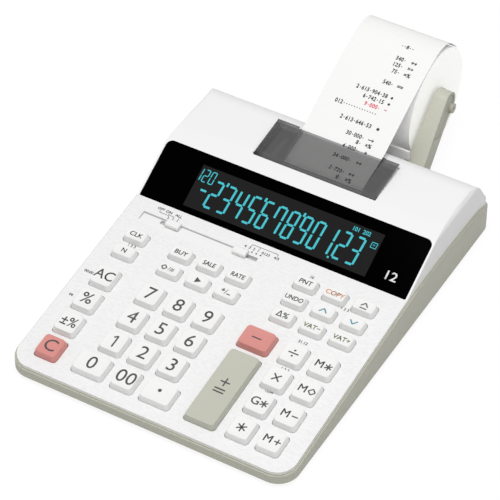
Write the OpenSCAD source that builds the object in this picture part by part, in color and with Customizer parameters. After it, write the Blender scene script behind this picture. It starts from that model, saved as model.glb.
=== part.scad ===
// Printing desk calculator, built as an assembly of separate pieces.
// Frame: +X across the width, +Y from the front edge to the paper roll, +Z up.
// Every module is drawn with the case front at y = 0 and is then moved back by y_mid.

/* [Case] */
// width of the case
case_w = 195; // [192:0.5:200]
// depth of the case, without the roll holder
case_l = 264; // [262:0.5:268]
// plan radius of the front corners
front_r = 14; // [8:1:18]
// plan radius of the rear corners
rear_r = 9; // [6:1:12]
// underside of the case above the desk
base_z = 2.8; // [2:0.1:3.5]
// thickness of the lower case walls
wall = 2.6; // [2.2:0.1:2.8]
// thickness of the lower case floor
floor_t = 2.4; // [2.2:0.1:2.6]
// thickness of the upper case top
skin = 2.2; // [2:0.1:2.6]
// how far the upper case edge sits in from the lower case edge
reveal = 1.4; // [1:0.1:1.8]
// height of the upper case edge over the lower case, along the keyboard
lip = 1.3; // [0.4:0.1:1.6]
// height of the printer housing
top_z = 52; // [51:0.5:54]
// radius of the housing's rear edge
house_r = 18; // [14:1:20]

/* [Keyboard] */
// height of the keyboard surface at the front edge
panel_z0 = 11.4; // [11.2:0.1:12.5]
// slope of the keyboard
panel_a = 6.75; // [6:0.25:7.5]
// thickness of the keyboard panel
panel_t = 2; // [1.8:0.1:2]
// depth of a function key
key_ds = 10; // [9.6:0.2:10.6]
// gap between keys, across the case
space_x = 4.7; // [4:0.1:5.2]
// gap between number keys, along the case
space_y = 4.05; // [3.5:0.05:4.5]
// gap between function keys, along the case
space_f = 4.4; // [4:0.1:5]
// gap between the function keys and the number keys
space_fn = 9.35; // [9:0.05:10]
// edge of the case to the keys, at the left
margin_l = 12.7; // [12:0.1:13.5]
// edge of the case to the keys, at the right
margin_r = 13.2; // [12:0.1:13.5]
// edge of the case to the keys, at the front
margin_f = 10.9; // [10:0.1:12]
// display to the middle of the topmost keys
margin_d = 17.8; // [17:0.1:19]
// gap between the left column and the number keys
space_l = 17; // [16:0.1:18]
// gap between the number keys and the wide keys
space_m = 16.3; // [15:0.1:17]
// gap between the wide keys and the next column
space_r = 6.7; // [6:0.1:7.5]
// how much wider the minus and plus keys are than a plain key
wider = 5.8; // [5:0.1:6.5]
// height of the key tops over the panel
key_h = 4; // [3.4:0.2:5]
// plan radius of the key corners
key_r = 2.6; // [1.6:0.2:3]
// key travel
key_travel = 1.8; // [1.2:0.1:1.8]
// gap between a key and its hole
key_gap = 0.35; // [0.25:0.05:0.5]

/* [Slide switches] */
// width of a slide switch knob
knob_w = 12; // [10:0.5:13]
// depth of a slide switch knob
knob_d = 5.4; // [5:0.2:6]
// height of a slide switch knob over the panel
knob_h = 3.2; // [2.4:0.2:4]
// travel of the left slide switch
slide_l = 7.5; // [6:0.5:8]
// travel of the right slide switch
slide_r = 10; // [8:0.5:11]

/* [Display] */
// slope of the display window
window_a = 27.7; // [26:0.5:29]
// length of the display window up its slope
window_l = 41; // [40:0.5:41.5]
// thickness of the display window
window_t = 1.8; // [1.6:0.1:1.9]
// width of the display glass
lcd_w = 134; // [128:1:136]
// length of the display glass up the slope
lcd_l = 33; // [30:0.5:33.5]

/* [Printer] */
// middle of the paper from the middle of the case
paper_x = 5.5; // [3:0.5:8]
// width of the paper
paper_w = 57.6; // [57:0.1:58]
// thickness of the drawn paper strip
paper_t = 0.2; // [0.15:0.05:0.3]
// radius of the paper roll
roll_r = 37.3; // [30:0.5:38]
// centre of the roll behind the back of the case
roll_back = 42; // [41:0.5:44]
// centre of the roll above the desk
roll_z = 45.5; // [45:0.5:47]
// radius of the roll core bore
core_r = 6.1; // [6:0.05:6.5]
// radius of the platen
platen_r = 8.2; // [7.8:0.1:8.4]
// shaft radius of the platen
shaft_r = 2; // [1.6:0.1:2.4]
// running clearance of shafts and pins in their holes
run_gap = 0.06; // [0.03:0.01:0.1]
// width of the printer cover
cover_w = 87; // [86:0.5:88]
// depth of the printer cover
cover_l = 32.6; // [32:0.2:33]
// display window to the printer cover
cover_front = 12; // [11:0.5:14]
// printer cover to the back of the case
cover_back = 33.2; // [32:0.2:35]
// left edge of the printer cover from the middle of the paper
cover_left = 45.6; // [44:0.1:46]
// height of the paper guide at the rear
guide_z = 39.5; // [38.5:0.5:40.5]
// width of the paper guide at its top
guide_w = 67; // [64:0.5:68]
// thickness of the printer cover
cover_t = 1.6; // [1.4:0.1:1.8]
// gap round the printer cover
cover_gap = 0.35; // [0.3:0.05:0.5]
// slope of the printer cover
cover_a = 7.6; // [5:0.2:8]
// radius of the bead that the printer cover turns on
bead_r = 2.1; // [1.8:0.1:2.3]

/* [Roll holder] */
// thickness of the right arm at its tip
arm_t = 9.5; // [9:0.5:10.5]
// thickness of the left arm at its tip
arm_tl = 7; // [7:0.5:10]
// extra thickness of an arm at its foot
arm_flare = 3; // [2:0.5:3.5]
// radius of the arm tip
arm_r = 8.6; // [8:0.2:9]
// clearance round an arm foot
arm_gap = 1.2; // [1:0.1:1.4]
// radius of the hub disc on an arm
hub_r = 10.4; // [9:0.2:11]
// length of the recess in an arm's outer face
recess_l = 26; // [20:1:30]
// depth of the recess in an arm's outer face
recess_t = 0.8; // [0.5:0.1:1.2]
// rim round the recess in an arm's outer face
recess_rim = 1.6; // [1.2:0.1:2]

/* [Underside] */
// radius of a rubber foot
foot_r = 7; // [6:0.5:8]
// width of the battery cover
door_w = 62; // [60:0.5:64]
// depth of the battery cover
door_l = 53.4; // [52:0.2:54]
// thickness of the battery cover
door_t = 1.8; // [1.6:0.1:1.9]
// radius of the adaptor socket bore
jack_r = 2.85; // [2.75:0.05:3]
// depth of the adaptor socket bore
jack_l = 10; // [8:0.5:11]

/* [Hidden] */
$fn = 16;
half_w = case_w / 2;
// from the back of the case: roll, printer cover, display window, keyboard
roll_y = case_l + roll_back;
cover_y1 = case_l - cover_back;
cover_y0 = cover_y1 - cover_l;
win_y1 = cover_y0 - cover_front;
panel_y1 = win_y1 - (window_l + 0.6) * cos(window_a);
panel_s = panel_y1 / cos(panel_a);
y_mid = (roll_y + roll_r) / 2;
// widths, depths and places of the keys
key_w = (case_w - margin_l - margin_r - space_l - space_m - space_r - 3 * space_x - wider) / 7;
key_ww = key_w + wider;
col_p = key_w + space_x;
C0 = margin_l + key_w / 2 - half_w;
C1 = C0 + key_w + space_l; C2 = C1 + col_p; C3 = C2 + col_p;
C6 = half_w - margin_r - key_w / 2;
C5 = C6 - col_p; C4B = C5 - col_p - 0.1;
C4 = C5 - (key_w + key_ww) / 2 - space_r;
R0 = panel_s - margin_d; R1 = R0 - key_ds - space_f; R2 = R1 - key_ds - space_f;
key_d = (R2 - key_ds / 2 - space_fn - margin_f - 3 * space_y) / 4;
row_p = key_d + space_y;
R6 = margin_f + key_d / 2; R5 = R6 + row_p; R4 = R5 + row_p; R3 = R4 + row_p;
// name, column, row, width, depth, colour
KEYS = [
  ["key_time", C0, R1, key_w, key_ds, 0], ["key_it", C0, R2, key_w, key_ds, 0],
  ["key_clear_all", C0, R3, key_w, key_d, 0], ["key_percent", C0, R4, key_w, key_d, 0],
  ["key_markup", C0, R5, key_w, key_d, 0], ["key_clear", C0, R6, key_w, key_d, 1],
  ["key_cost", C1, R1, key_w, key_ds, 0], ["key_sell", C2, R1, key_w, key_ds, 0],
  ["key_margin", C3, R1, key_w, key_ds, 0], ["key_subtotal", C1, R2, key_w, key_ds, 0],
  ["key_backspace", C2, R2, key_w, key_ds, 0], ["key_sign", C3, R2, key_w, key_ds, 0],
  ["key_7", C1, R3, key_w, key_d, 0], ["key_8", C2, R3, key_w, key_d, 0],
  ["key_9", C3, R3, key_w, key_d, 0], ["key_4", C1, R4, key_w, key_d, 0],
  ["key_5", C2, R4, key_w, key_d, 0], ["key_6", C3, R4, key_w, key_d, 0],
  ["key_1", C1, R5, key_w, key_d, 0], ["key_2", C2, R5, key_w, key_d, 0],
  ["key_3", C3, R5, key_w, key_d, 0], ["key_0", C1 - 3.2, R6, key_w + 6.4, key_d, 0],
  ["key_00", C2 + 0.7, R6, key_w, key_d, 0], ["key_point", C3 + 3.3, R6, key_w + 5.4, key_d, 0],
  ["key_minus", C4, R3, key_ww, key_d, 1],
  ["key_plus_equals", C4, R5, key_ww, 2 * row_p + key_d, 2],
  ["key_print", C4B, R0, key_w, key_ds, 0], ["key_reprint", C5, R0, key_w, key_ds, 0],
  ["key_feed", C6, R0, key_w, key_ds, 0], ["key_correct", C4B, R1, key_w, key_ds, 0],
  ["key_up", C5, R1, key_w, key_ds, 0], ["key_down", C6, R1, key_w, key_ds, 0],
  ["key_delta", C4B, R2, key_w, key_ds, 0], ["key_tax_minus", C5, R2, key_w, key_ds, 0],
  ["key_tax_plus", C6, R2, key_w, key_ds, 0], ["key_divide", C5, R3, key_w, key_d, 0],
  ["key_times", C5, R4, key_w, key_d, 0], ["key_grand_total", C5, R5, key_w, key_d, 0],
  ["key_total", C5, R6, key_w, key_d, 0], ["key_memory_total", C6, R3, key_w, key_d, 0],
  ["key_memory_subtotal", C6, R4, key_w, key_d, 0],
  ["key_memory_minus", C6, R5, key_w, key_d, 0],
  ["key_memory_plus", C6, R6, key_w, key_d, 0],
];
// left and right slide switch: name, knob centre, travel towards the left, towards the right
SLIDES = [["slide_print", C0 + 15.4, slide_l, 0], ["slide_rounding", C3 - 9.4, 0, slide_r]];
slide_s = panel_s - 13.2;

WHITE = [0.93, 0.93, 0.93]; PINK = [0.9, 0.62, 0.6]; PUTTY = [0.78, 0.78, 0.72];
BEIGE = [0.7, 0.7, 0.63]; BLACK = [0.03, 0.03, 0.03]; DARK = [0.2, 0.2, 0.2];

// depths under the panel surface
flange_n = -panel_t - 0.1;
flange_t = 0.8;
mat_n = flange_n - flange_t - key_travel - 0.15;
mat_t = 0.6;
board_n = mat_n - mat_t;
board_t = 1.2;

function zp(y) = panel_z0 + y * tan(panel_a);
win_y0 = panel_y1;
win_z0 = zp(panel_y1) + 0.2;
win_z1 = win_z0 + (window_l + 0.6) * sin(window_a);
// outline of the upper case top, from front to rear, its corners rounded by arcs
TOP_A = [cover_y0 + 1.5, top_z - 1.4];
TOP_B = [case_l - 22.6, top_z + 0.2];
TOP_C = [case_l - 7.4, top_z - 22.5];
TOP = concat([[-4, zp(-4)], [win_y0, zp(win_y0)], [win_y0 + 0.1, win_z0], [win_y1, win_z1]],
  bend([win_y1, win_z1], TOP_A, TOP_B, 110, 3), bend(TOP_A, TOP_B, TOP_C, house_r, 9),
  [TOP_C, [case_l + 4, top_z - 40]]);
// parting line between the two halves of the case
PART = [[-4, zp(-4) - lip], [panel_y1 - 2, zp(panel_y1 - 2) - lip], [panel_y1 + 10.6, win_z0 - 0.28],
  [case_l - 59, top_z - 22.5], [case_l - 18, top_z - 24.8], [case_l + 4, top_z - 33]];
// paper path: roll, inlet, round the platen, out under the cover and over the roll
platen_y = cover_y0 + 13.8; platen_z = top_z - 11.7;
inlet = [case_l - 2, 14.3];
function on_arc(c, r, a) = c + r * [cos(a), sin(a)];
roll_c = [roll_y, roll_z];
PATH = concat(
  [for (a = [-40:-8:-96]) on_arc(roll_c, roll_r + 0.55, a)],
  [inlet],
  [for (a = [251:-12:107]) on_arc([platen_y, platen_z], platen_r + 0.4, a)],
  [for (p = [[-34.6, 1.2], [-28, 3.5], [-21, 6.9], [-12, 11.5], [1, 18], [16, 25]]) [case_l, top_z] + p],
  [for (c = [[112.5, 1.6], [101, 2.5], [91.5, 3.5], [83, 4.2], [75, 4.5], [70, 4.1], [65, 3.3],
    [60, 2.4], [55, 1.7], [50, 1.1], [45, 0.7]]) on_arc(roll_c, roll_r + c[1], c[0])]);

// ---- helpers ----
function nrm(a, b) = let (d = b - a) [d[1], -d[0]] / norm(d);
function crs(a, b) = a[0] * b[1] - a[1] * b[0];
function meet(p, d, q, e) = abs(crs(d, e)) < 1e-6 ? q : p + d * (crs(q - p, e) / crs(d, e));
// the open line P moved sideways by T[i] for each of its segments
function shift(P, T) = let (n = len(P)) [for (i = [0:n - 1])
  i == 0 ? P[0] + nrm(P[0], P[1]) * T[0]
  : i == n - 1 ? P[n - 1] + nrm(P[n - 2], P[n - 1]) * T[n - 2]
  : meet(P[i] + nrm(P[i - 1], P[i]) * T[i - 1], P[i] - P[i - 1],
         P[i] + nrm(P[i], P[i + 1]) * T[i], P[i + 1] - P[i])];
// arc of radius r, in n steps, that rounds the corner b between a and c
function bend(a, b, c, r, n) = let (u = (a - b) / norm(a - b), v = (c - b) / norm(c - b),
  h = acos(u * v) / 2, m = b + (u + v) / norm(u + v) * r / sin(h), p = b + u * r / tan(h) - m,
  t = (90 - h) * 2 * sign(crs(v, u)))
  [for (i = [0:n]) let (g = t * i / n) m + [p[0] * cos(g) - p[1] * sin(g), p[0] * sin(g) + p[1] * cos(g)]];
function rev(P) = [for (i = [len(P) - 1:-1:0]) P[i]];
function up(P, dz) = [for (p = P) [p[0], p[1] + dz]];

// rectangle with rounded corners, radius rf at the front and rr at the rear
module rrect(w, l, rf, rr, fn = 16) {
  for (s = [-1, 1]) {
    translate([s * (w / 2 - rf), rf]) circle(rf, $fn = fn);
    translate([s * (w / 2 - rr), l - rr]) circle(rr, $fn = fn);
  }
  translate([-w / 2, rf]) square([w, l - rf - rr]);
  translate([-w / 2 + rf, 0]) square([w - 2 * rf, rf + 1]);
  translate([-w / 2 + rr, l - rr - 1]) square([w - 2 * rr, rr + 1]);
}
// plan of the case, moved in by d
module plan(d, z0 = -10, z1 = 80) {
  translate([0, d, z0]) linear_extrude(z1 - z0)
    rrect(case_w - 2 * d, case_l - 2 * d, front_r - d, rear_r - min(d, rear_r - 3), 48);
}
// side outline (y, z) drawn across the width
module side(pts, x0 = -110, x1 = 110) {
  translate([x0, 0, 0]) rotate([90, 0, 90]) linear_extrude(x1 - x0) polygon(pts);
}
module under(line, x0 = -110, x1 = 110) {
  side(concat(line, [[line[len(line) - 1][0], -60], [line[0][0], -60]]), x0, x1);
}
module on_panel() { translate([0, 0, panel_z0]) rotate([panel_a, 0, 0]) children(); }
module on_window() { translate([0, win_y0, win_z0]) rotate([window_a, 0, 0]) children(); }
module rod_x(x0, x1, y, z, r, fn = 24) {
  translate([x0, y, z]) rotate([0, 90, 0]) cylinder(h = x1 - x0, r = r, $fn = fn);
}
module box(x0, x1, y0, y1, z0, z1) {
  translate([x0, y0, z0]) cube([x1 - x0, y1 - y0, z1 - z0]);
}
// about the paper middle: the right side as drawn, or mirrored
module sided(s) { translate([paper_x, 0, 0]) mirror([s < 0 ? 1 : 0, 0, 0]) children(); }

// ---- case ----
screw_xy = [for (s = [-1, 1], p = [[7.9, 36], [7.9, panel_y1 - 21.4], [13.5, case_l - 38]])
  [s * (half_w - p[0]), p[1]]];
foot_xy = [for (x = [17.5 - half_w, half_w - 17.5], y = [20, case_l - 20]) [x, y]];
door_y = panel_y1 - 0.4;
bay_z = 20.4;
jack_x = 25.5 - half_w;
jack_z = 13;
frame_z = 24;
board_w = case_w - 23;
board_l = panel_y1 - 11.4;
module screws() { for (p = screw_xy) translate([p[0], p[1], 0]) children(); }
arm_x0 = paper_w / 2 + 1.8;
arm_x1 = arm_x0 + arm_t + arm_flare;
pivot_x = arm_x0 + 5;
pivot_y = case_l - 8.5;
arm_z0 = 9.8;
module arm_pocket(s) {
  sided(s) box(arm_x0 - arm_gap - 0.2, arm_x1 + arm_gap + 1, case_l - 16, case_l + 16,
    arm_z0 - arm_gap, 31.5);
}
cover_x0 = paper_x - cover_left; cover_x1 = cover_x0 + cover_w;
hinge_y = cover_y0 + bead_r;
hinge_z = top_z - 0.8 - bead_r;
module upper_case() color(WHITE) {
  inner = shift(TOP, [for (i = [1:len(TOP) - 1]) i < 3 ? panel_t : i == 3 ? skin + 2 : skin]);
  difference() {
    union() {
      intersection() {
        plan(reveal);
        difference() { under(TOP); under(PART); }
        // the housing edges roll over
        translate([0, 300, 0]) rotate([90, 0, 0]) linear_extrude(310) {
          w = case_w / 2 - reveal;
          translate([-w, -10]) square([2 * w, top_z + 10 - 5]);
          translate([-w + 5, 0]) square([2 * w - 10, top_z]);
          for (s = [-1, 1]) translate([s * (w - 5), top_z - 5]) circle(5, $fn = 32);
        }
      }
      intersection() {
        plan(wall + 0.3);
        difference() { under(up(TOP, -0.6)); under(up(PART, -3)); }
      }
      // trough of the printer cover hinge
      box(cover_x0 - 3.4, cover_x1 + 3.4, hinge_y - bead_r - 1.8, hinge_y + bead_r + 1.4,
        hinge_z - bead_r - cover_gap - 1.1, top_z - 2.4);
      // paper guide at the rear
      box(paper_x - 30.4, paper_x + 30.4, case_l - 4.2, case_l - 2.6, inlet[1] + 1.9, guide_z);
      box(paper_x - guide_w / 2, paper_x + guide_w / 2, case_l - 4.2, case_l - 2.6, guide_z - 6.5, guide_z);
    }
    difference() {
      intersection() { plan(wall + 2.2); under(inner); }
      // bosses for the case screws
      screws() cylinder(h = 60, r = 3, $fn = 24);
    }
    for (p = screw_xy) let (z = lookup(p[1], PART) - 4)
      translate([p[0], p[1], z]) cylinder(h = min(9, lookup(p[1], TOP) - 1.2 - z), r = 1.2);
    // keys
    on_panel() for (k = KEYS) translate([k[1], k[2] - (k[4] + 2 * key_gap) / 2, -6])
      linear_extrude(12) rrect(k[3] + 2 * key_gap, k[4] + 2 * key_gap, key_r, key_r);
    // slide switch channel and slots
    on_panel() {
      side([for (p = [[-6.2, 0], [2.4, -0.5], [2.4, 1], [-6.2, 1]]) [slide_s, 0] + p], C0 - key_w / 2, C2 + 4.1);
      for (s = SLIDES) translate([s[1] - s[2] - 1.9, slide_s - 1.5, -5])
        cube([3.8 + s[2] + s[3], 3, 8]);
    }
    // display window recess and opening
    on_window() {
      translate([0, -0.05, -window_t - 0.1]) linear_extrude(8)
        rrect(case_w - 2 * reveal - 2.6, window_l + 0.4, 0.8, 4.6, 24);
      translate([-lcd_w / 2 - 0.5, 2, -6]) cube([lcd_w + 1, lcd_l + 1, 8]);
    }
    // printer cover recess, hinge seats, opening and paper exit
    side([[hinge_y, hinge_z], [hinge_y + 0.1, top_z - 2.65], [cover_y1 + 0.4, top_z - 1.35],
      [cover_y1 + 0.4, 60], [hinge_y, 60]], cover_x0 - cover_gap, cover_x1 + cover_gap);
    rod_x(cover_x0 - cover_gap, cover_x1 + cover_gap, hinge_y, hinge_z, bead_r + cover_gap, 48);
    rod_x(cover_x0 - 1.7, cover_x1 + 1.7, hinge_y, hinge_z, 0.8 + run_gap, 16);
    box(cover_x0 + 2.4, cover_x1 - 2.4, hinge_y + bead_r + 1.4, cover_y1 - 1.9, 40, 60);
    box(paper_x - 30.2, paper_x + 30.2, cover_y1 - 6, cover_y1 + 4.4, 40, 60);
    translate([cover_x0 - 2.9, cover_y0, top_z - 1.3]) rotate([2.2, 0, 0])
      rotate([-90, 0, 0]) linear_extrude(cover_l) polygon([[0, 0], [2.8, 1.3], [2.8, -3], [0, -3]]);
    for (s = [-1, 1]) arm_pocket(s);
  }
}
module lower_case() color(BEIGE) {
  bay_x = door_w / 2;
  difference() {
    union() {
      difference() {
        union() {
          intersection() { plan(0, base_z + 0.5); under(up(PART, -0.9)); }
          intersection() { plan(0.8, base_z + 0.2); under(PART); }
          intersection() { plan(0.5, base_z); under(up(PART, -1)); }
        }
        plan(wall, base_z + floor_t);
      }
      intersection() {
        plan(wall - 0.5);
        under(up(PART, -0.5));
        union() {
          // posts under the board
          intersection() {
            for (x = [-1, 0, 1], y = [0, 0.5, 1]) translate([x * (half_w - 23.5),
              16 + y * (board_l - 20), base_z + 1]) cylinder(h = 30, r = 2.6, $fn = 24);
            under([for (y = [-10, 300]) [y, zp(y) - 0.02 + (board_n - board_t) / cos(panel_a)]]);
          }
          // screw bosses, up to those of the upper case
          intersection() {
            screws() translate([0, 0, base_z + 1]) cylinder(h = 40, r = 3, $fn = 24);
            under(up(PART, -3.1));
          }
          // posts under the printer
          for (x = [cover_x0 + 2.6, cover_x1 - 1.2]) translate([x, platen_y - 10, base_z + 1])
            cylinder(h = frame_z - base_z - 1, r = 3, $fn = 24);
          // battery bay
          box(-bay_x - 1.6, bay_x + 1.6, door_y - 2.1, door_y + door_l + 1.4, base_z + 0.5, bay_z + 1.4);
          // adaptor socket
          translate([jack_x, case_l - 1, jack_z]) rotate([90, 0, 0])
            cylinder(h = jack_l + 2, r = jack_r + 1.95, $fn = 32);
          // arm pivots
          for (s = [-1, 1]) sided(s) {
            translate([pivot_x, pivot_y, base_z + 1]) cylinder(h = 22.5 - base_z, r = 1.5, $fn = 24);
            translate([pivot_x, pivot_y, base_z + 1])
              cylinder(h = arm_z0 - 0.2 - base_z - 1, r = 4.5, $fn = 24);
          }
        }
      }
    }
    // battery bay: cover recess, hinge seats and hollow
    box(-bay_x - 0.3, bay_x + 0.3, door_y - 0.5, door_y + door_l + 0.35, 0, base_z + door_t + 0.1);
    rod_x(-bay_x - 1.5, bay_x + 1.5, door_y + 1, base_z + 0.95, 0.7 + run_gap, 16);
    box(-bay_x + 1.3, bay_x - 1.3, door_y - 0.5, door_y + door_l - 1.6, 0, bay_z);
    box(-bay_x - 0.3, bay_x + 0.3, door_y - 0.5, door_y + 2.6, 0, base_z + door_t + 1.4);
    // adaptor socket bore
    translate([jack_x, case_l + 1, jack_z]) rotate([90, 0, 0]) cylinder(h = jack_l + 1, r = jack_r, $fn = 32);
    // seats of the feet
    for (p = foot_xy) translate([p[0], p[1], 0])
      cylinder(h = base_z + 1.25, r = foot_r + 0.1, $fn = 32);
    // paper inlet and arm openings
    box(paper_x - 30.4, paper_x + 30.4, case_l - 5, case_l + 2, inlet[1] - 1.9, 60);
    for (s = [-1, 1]) difference() { arm_pocket(s); box(-60, 70, case_l - 24, case_l - wall, 0, 60); }
    // case screws
    screws() { cylinder(h = 20, r = 1.3); cylinder(h = base_z + 1.6, r = 2.8, $fn = 24); }
  }
}
module display_window() color(BLACK) on_window() {
  translate([0, 0.15, -window_t]) linear_extrude(window_t + 0.1)
    rrect(case_w - 2 * reveal - 3.2, window_l, 0.6, 4.4, 24);
}
module lcd_module() color(DARK) on_window() {
  translate([-lcd_w / 2, 2.5, -4.4]) cube([lcd_w, lcd_l, 4.3 - window_t]);
  translate([-lcd_w / 2 - 4, 0.8, -6.5]) cube([lcd_w + 8, lcd_l + 4, 2.2]);
}
module rubber_feet() color(DARK)
  for (p = foot_xy) translate([p[0], p[1], 0]) cylinder(h = base_z + 1.2, r = foot_r, $fn = 32);
module battery_cover() color(BEIGE) {
  box(-door_w / 2, door_w / 2, door_y, door_y + door_l, base_z, base_z + door_t);
  rod_x(-door_w / 2 - 1.3, door_w / 2 + 1.3, door_y + 1, base_z + 0.95, 0.7, 16);
}
// ---- keyboard ----
module key(k) {
  w = k[3]; d = k[4];
  stems = d > 30 ? [[0, -d / 4], [0, d / 4]] : w > 20 ? [[-w / 4, 0], [w / 4, 0]] : [[0, 0]];
  color(k[5] == 1 ? PINK : k[5] == 2 ? PUTTY : WHITE) on_panel() translate([k[1], k[2], 0]) {
    difference() {
      union() {
        intersection() {
          translate([0, -d / 2, flange_n - 0.1]) linear_extrude(key_h - flange_n + 0.1)
            rrect(w, d, key_r, key_r);
          translate([0, d, 0]) rotate([90, 0, 0]) linear_extrude(2 * d)
            polygon([[-w / 2 - 1, -9], [w / 2 + 1, -9], [w / 2 + 1, 0], [w / 2, 0.6],
              [w / 2 - 0.8, key_h - 0.7], [w / 2 - 1.6, key_h], [1.6 - w / 2, key_h],
              [0.8 - w / 2, key_h - 0.7], [-w / 2, 0.6], [-w / 2 - 1, 0]]);
          side([[-d / 2 - 1, -9], [d / 2 + 1, -9], [d / 2 + 1, 0], [d / 2, 0.6],
            [d / 2 - 0.8, key_h - 0.7], [d / 2 - 1.6, key_h], [1.6 - d / 2, key_h],
            [0.8 - d / 2, key_h - 0.7], [-d / 2, 0.6], [-d / 2 - 1, 0]], -w, w);
        }
        translate([-w / 2 - 1, -d / 2 - 1, flange_n - flange_t]) cube([w + 2, d + 2, flange_t]);
      }
      translate([-w / 2 + 1.2, -d / 2 + 1.2, -9]) cube([w - 2.4, d - 2.4, 9 + key_h - 2]);
    }
    for (p = stems) translate([p[0], p[1], mat_n + key_travel + 0.1])
      cylinder(h = key_h - 1.9 - mat_n - key_travel - 0.1, r = 1.5);
  }
}
module slide(s) color(WHITE) on_panel() translate([s[1], slide_s, 0]) {
  side([[-knob_d / 2, 0.3], [knob_d / 2, 0.3], [knob_d / 2, knob_h - 0.6],
    [knob_d / 2 - 0.6, knob_h], [0.9 - knob_d / 2, knob_h], [-knob_d / 2, knob_h - 0.8]],
    -knob_w / 2, knob_w / 2);
  translate([-1.6, -1.2, -panel_t - 1]) cube([3.2, 2.4, panel_t + 1.6]);
  translate([-3.5, -3.2, -panel_t - 1.2]) cube([7, 6.4, 1]);
}
module key_mat() color(DARK) on_panel() {
  translate([-board_w / 2, 9, mat_n - mat_t]) cube([board_w, board_l - 2, mat_t]);
  for (k = KEYS) let (w = k[3], d = k[4])
    for (p = d > 30 ? [[0, -d / 4], [0, d / 4]] : w > 20 ? [[-w / 4, 0], [w / 4, 0]] : [[0, 0]])
      translate([k[1] + p[0], k[2] + p[1], mat_n - 0.1]) difference() {
        cylinder(h = 2.9, r = 3.3);
        translate([0, 0, 0.1]) cylinder(h = 4, r = 1.8);
      }
}
module main_board() color([0.1, 0.35, 0.2]) on_panel()
  translate([-board_w / 2, 8, board_n - board_t]) cube([board_w, board_l, board_t]);
// ---- printer ----
// the frame's side plates
frame_x = [paper_x - paper_w / 2 - 8.7, paper_x + paper_w / 2 + 7.3];
// line of the cover's top from its bead to its rear edge, moved down by t
function cover_top(t) = let (a = on_arc([hinge_y, hinge_z], bead_r - t, 90 + cover_a))
  [a, [cover_y1, a[1] + (cover_y1 - a[0]) * tan(cover_a)]];
module printer_cover() color([0.4, 0.4, 0.4]) {
  difference() {
    union() {
      rod_x(cover_x0, cover_x1, hinge_y, hinge_z, bead_r, 48);
      side(concat([[hinge_y, hinge_z]], cover_top(0), [[cover_y1, top_z - 1.1],
        [hinge_y + bead_r, top_z - 2.4]]), cover_x0, cover_x1);
    }
    side(concat([[hinge_y + bead_r, 40], [hinge_y + bead_r, cover_top(cover_t)[0][1]]],
      [cover_top(cover_t)[1] - [1.4, 0.1]], [[cover_y1 - 1.4, 40]]), cover_x0 + cover_t, cover_x1 - cover_t);
    // notch for the paper
    box(paper_x - paper_w / 2 - 1, paper_x + paper_w / 2 + 1, cover_y1 - 1.5, 260, 40, 60);
  }
  rod_x(cover_x0 - 1.5, cover_x1 + 1.5, hinge_y, hinge_z, 0.8, 16);
}
module printer_frame() color(DARK) {
  difference() {
    union() {
      box(cover_x0 - 0.8, cover_x1 + 1.4, cover_y0 - 0.2, cover_y0 + 8.3, frame_z, frame_z + 2);
      for (x = frame_x) {
        box(x, x + 2, platen_y - 7, platen_y + 14, frame_z, platen_z + 6.2);
        box(x, x + 2, platen_y - 13, platen_y - 6, frame_z, platen_z + 1.7);
      }
      box(frame_x[0] + 1.5, frame_x[1] + 0.4, cover_y0 - 0.6, cover_y0 + 2.4, frame_z + 1, platen_z + 1.7);
    }
    rod_x(-60, 60, platen_y, platen_z, shaft_r + run_gap);
  }
  rod_x(frame_x[0] - 12, frame_x[0] + 0.5, platen_y - 4, platen_z - 7.3, 5.5);
}
module platen_roller() color([0.25, 0.25, 0.25]) {
  rod_x(paper_x - paper_w / 2 - 0.6, paper_x + paper_w / 2 + 0.6, platen_y, platen_z, platen_r, 48);
  rod_x(frame_x[0] + 0.3, frame_x[1] + 1.8, platen_y, platen_z, shaft_r);
  rod_x(paper_x + paper_w / 2 + 2.7, frame_x[1] - 1.6, platen_y, platen_z, 7, 32);
}
module paper_roll() color(WHITE) difference() {
  rod_x(paper_x - paper_w / 2, paper_x + paper_w / 2, roll_y, roll_z, roll_r, 96);
  rod_x(-60, 60, roll_y, roll_z, core_r, 32);
}
module paper_strip() color(WHITE) {
  n = len(PATH) - 1;
  side(concat(shift(PATH, [for (i = [1:n]) -paper_t / 2]),
    rev(shift(PATH, [for (i = [1:n]) paper_t / 2]))), paper_x - paper_w / 2, paper_x + paper_w / 2);
}
tip = roll_c + [-3.9, 5.6];
// side outline of an arm, from its foot to its tip
module arm_side() {
  translate(tip) circle(arm_r, $fn = 48);
  polygon([[case_l - 14.5, 26], [case_l - 14.5, arm_z0], [case_l + 1.5, arm_z0],
    on_arc(tip, arm_r, -52), tip, on_arc(tip, arm_r, 131), [case_l - 0.4, 29], [case_l - 3.4, 26]]);
}
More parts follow.
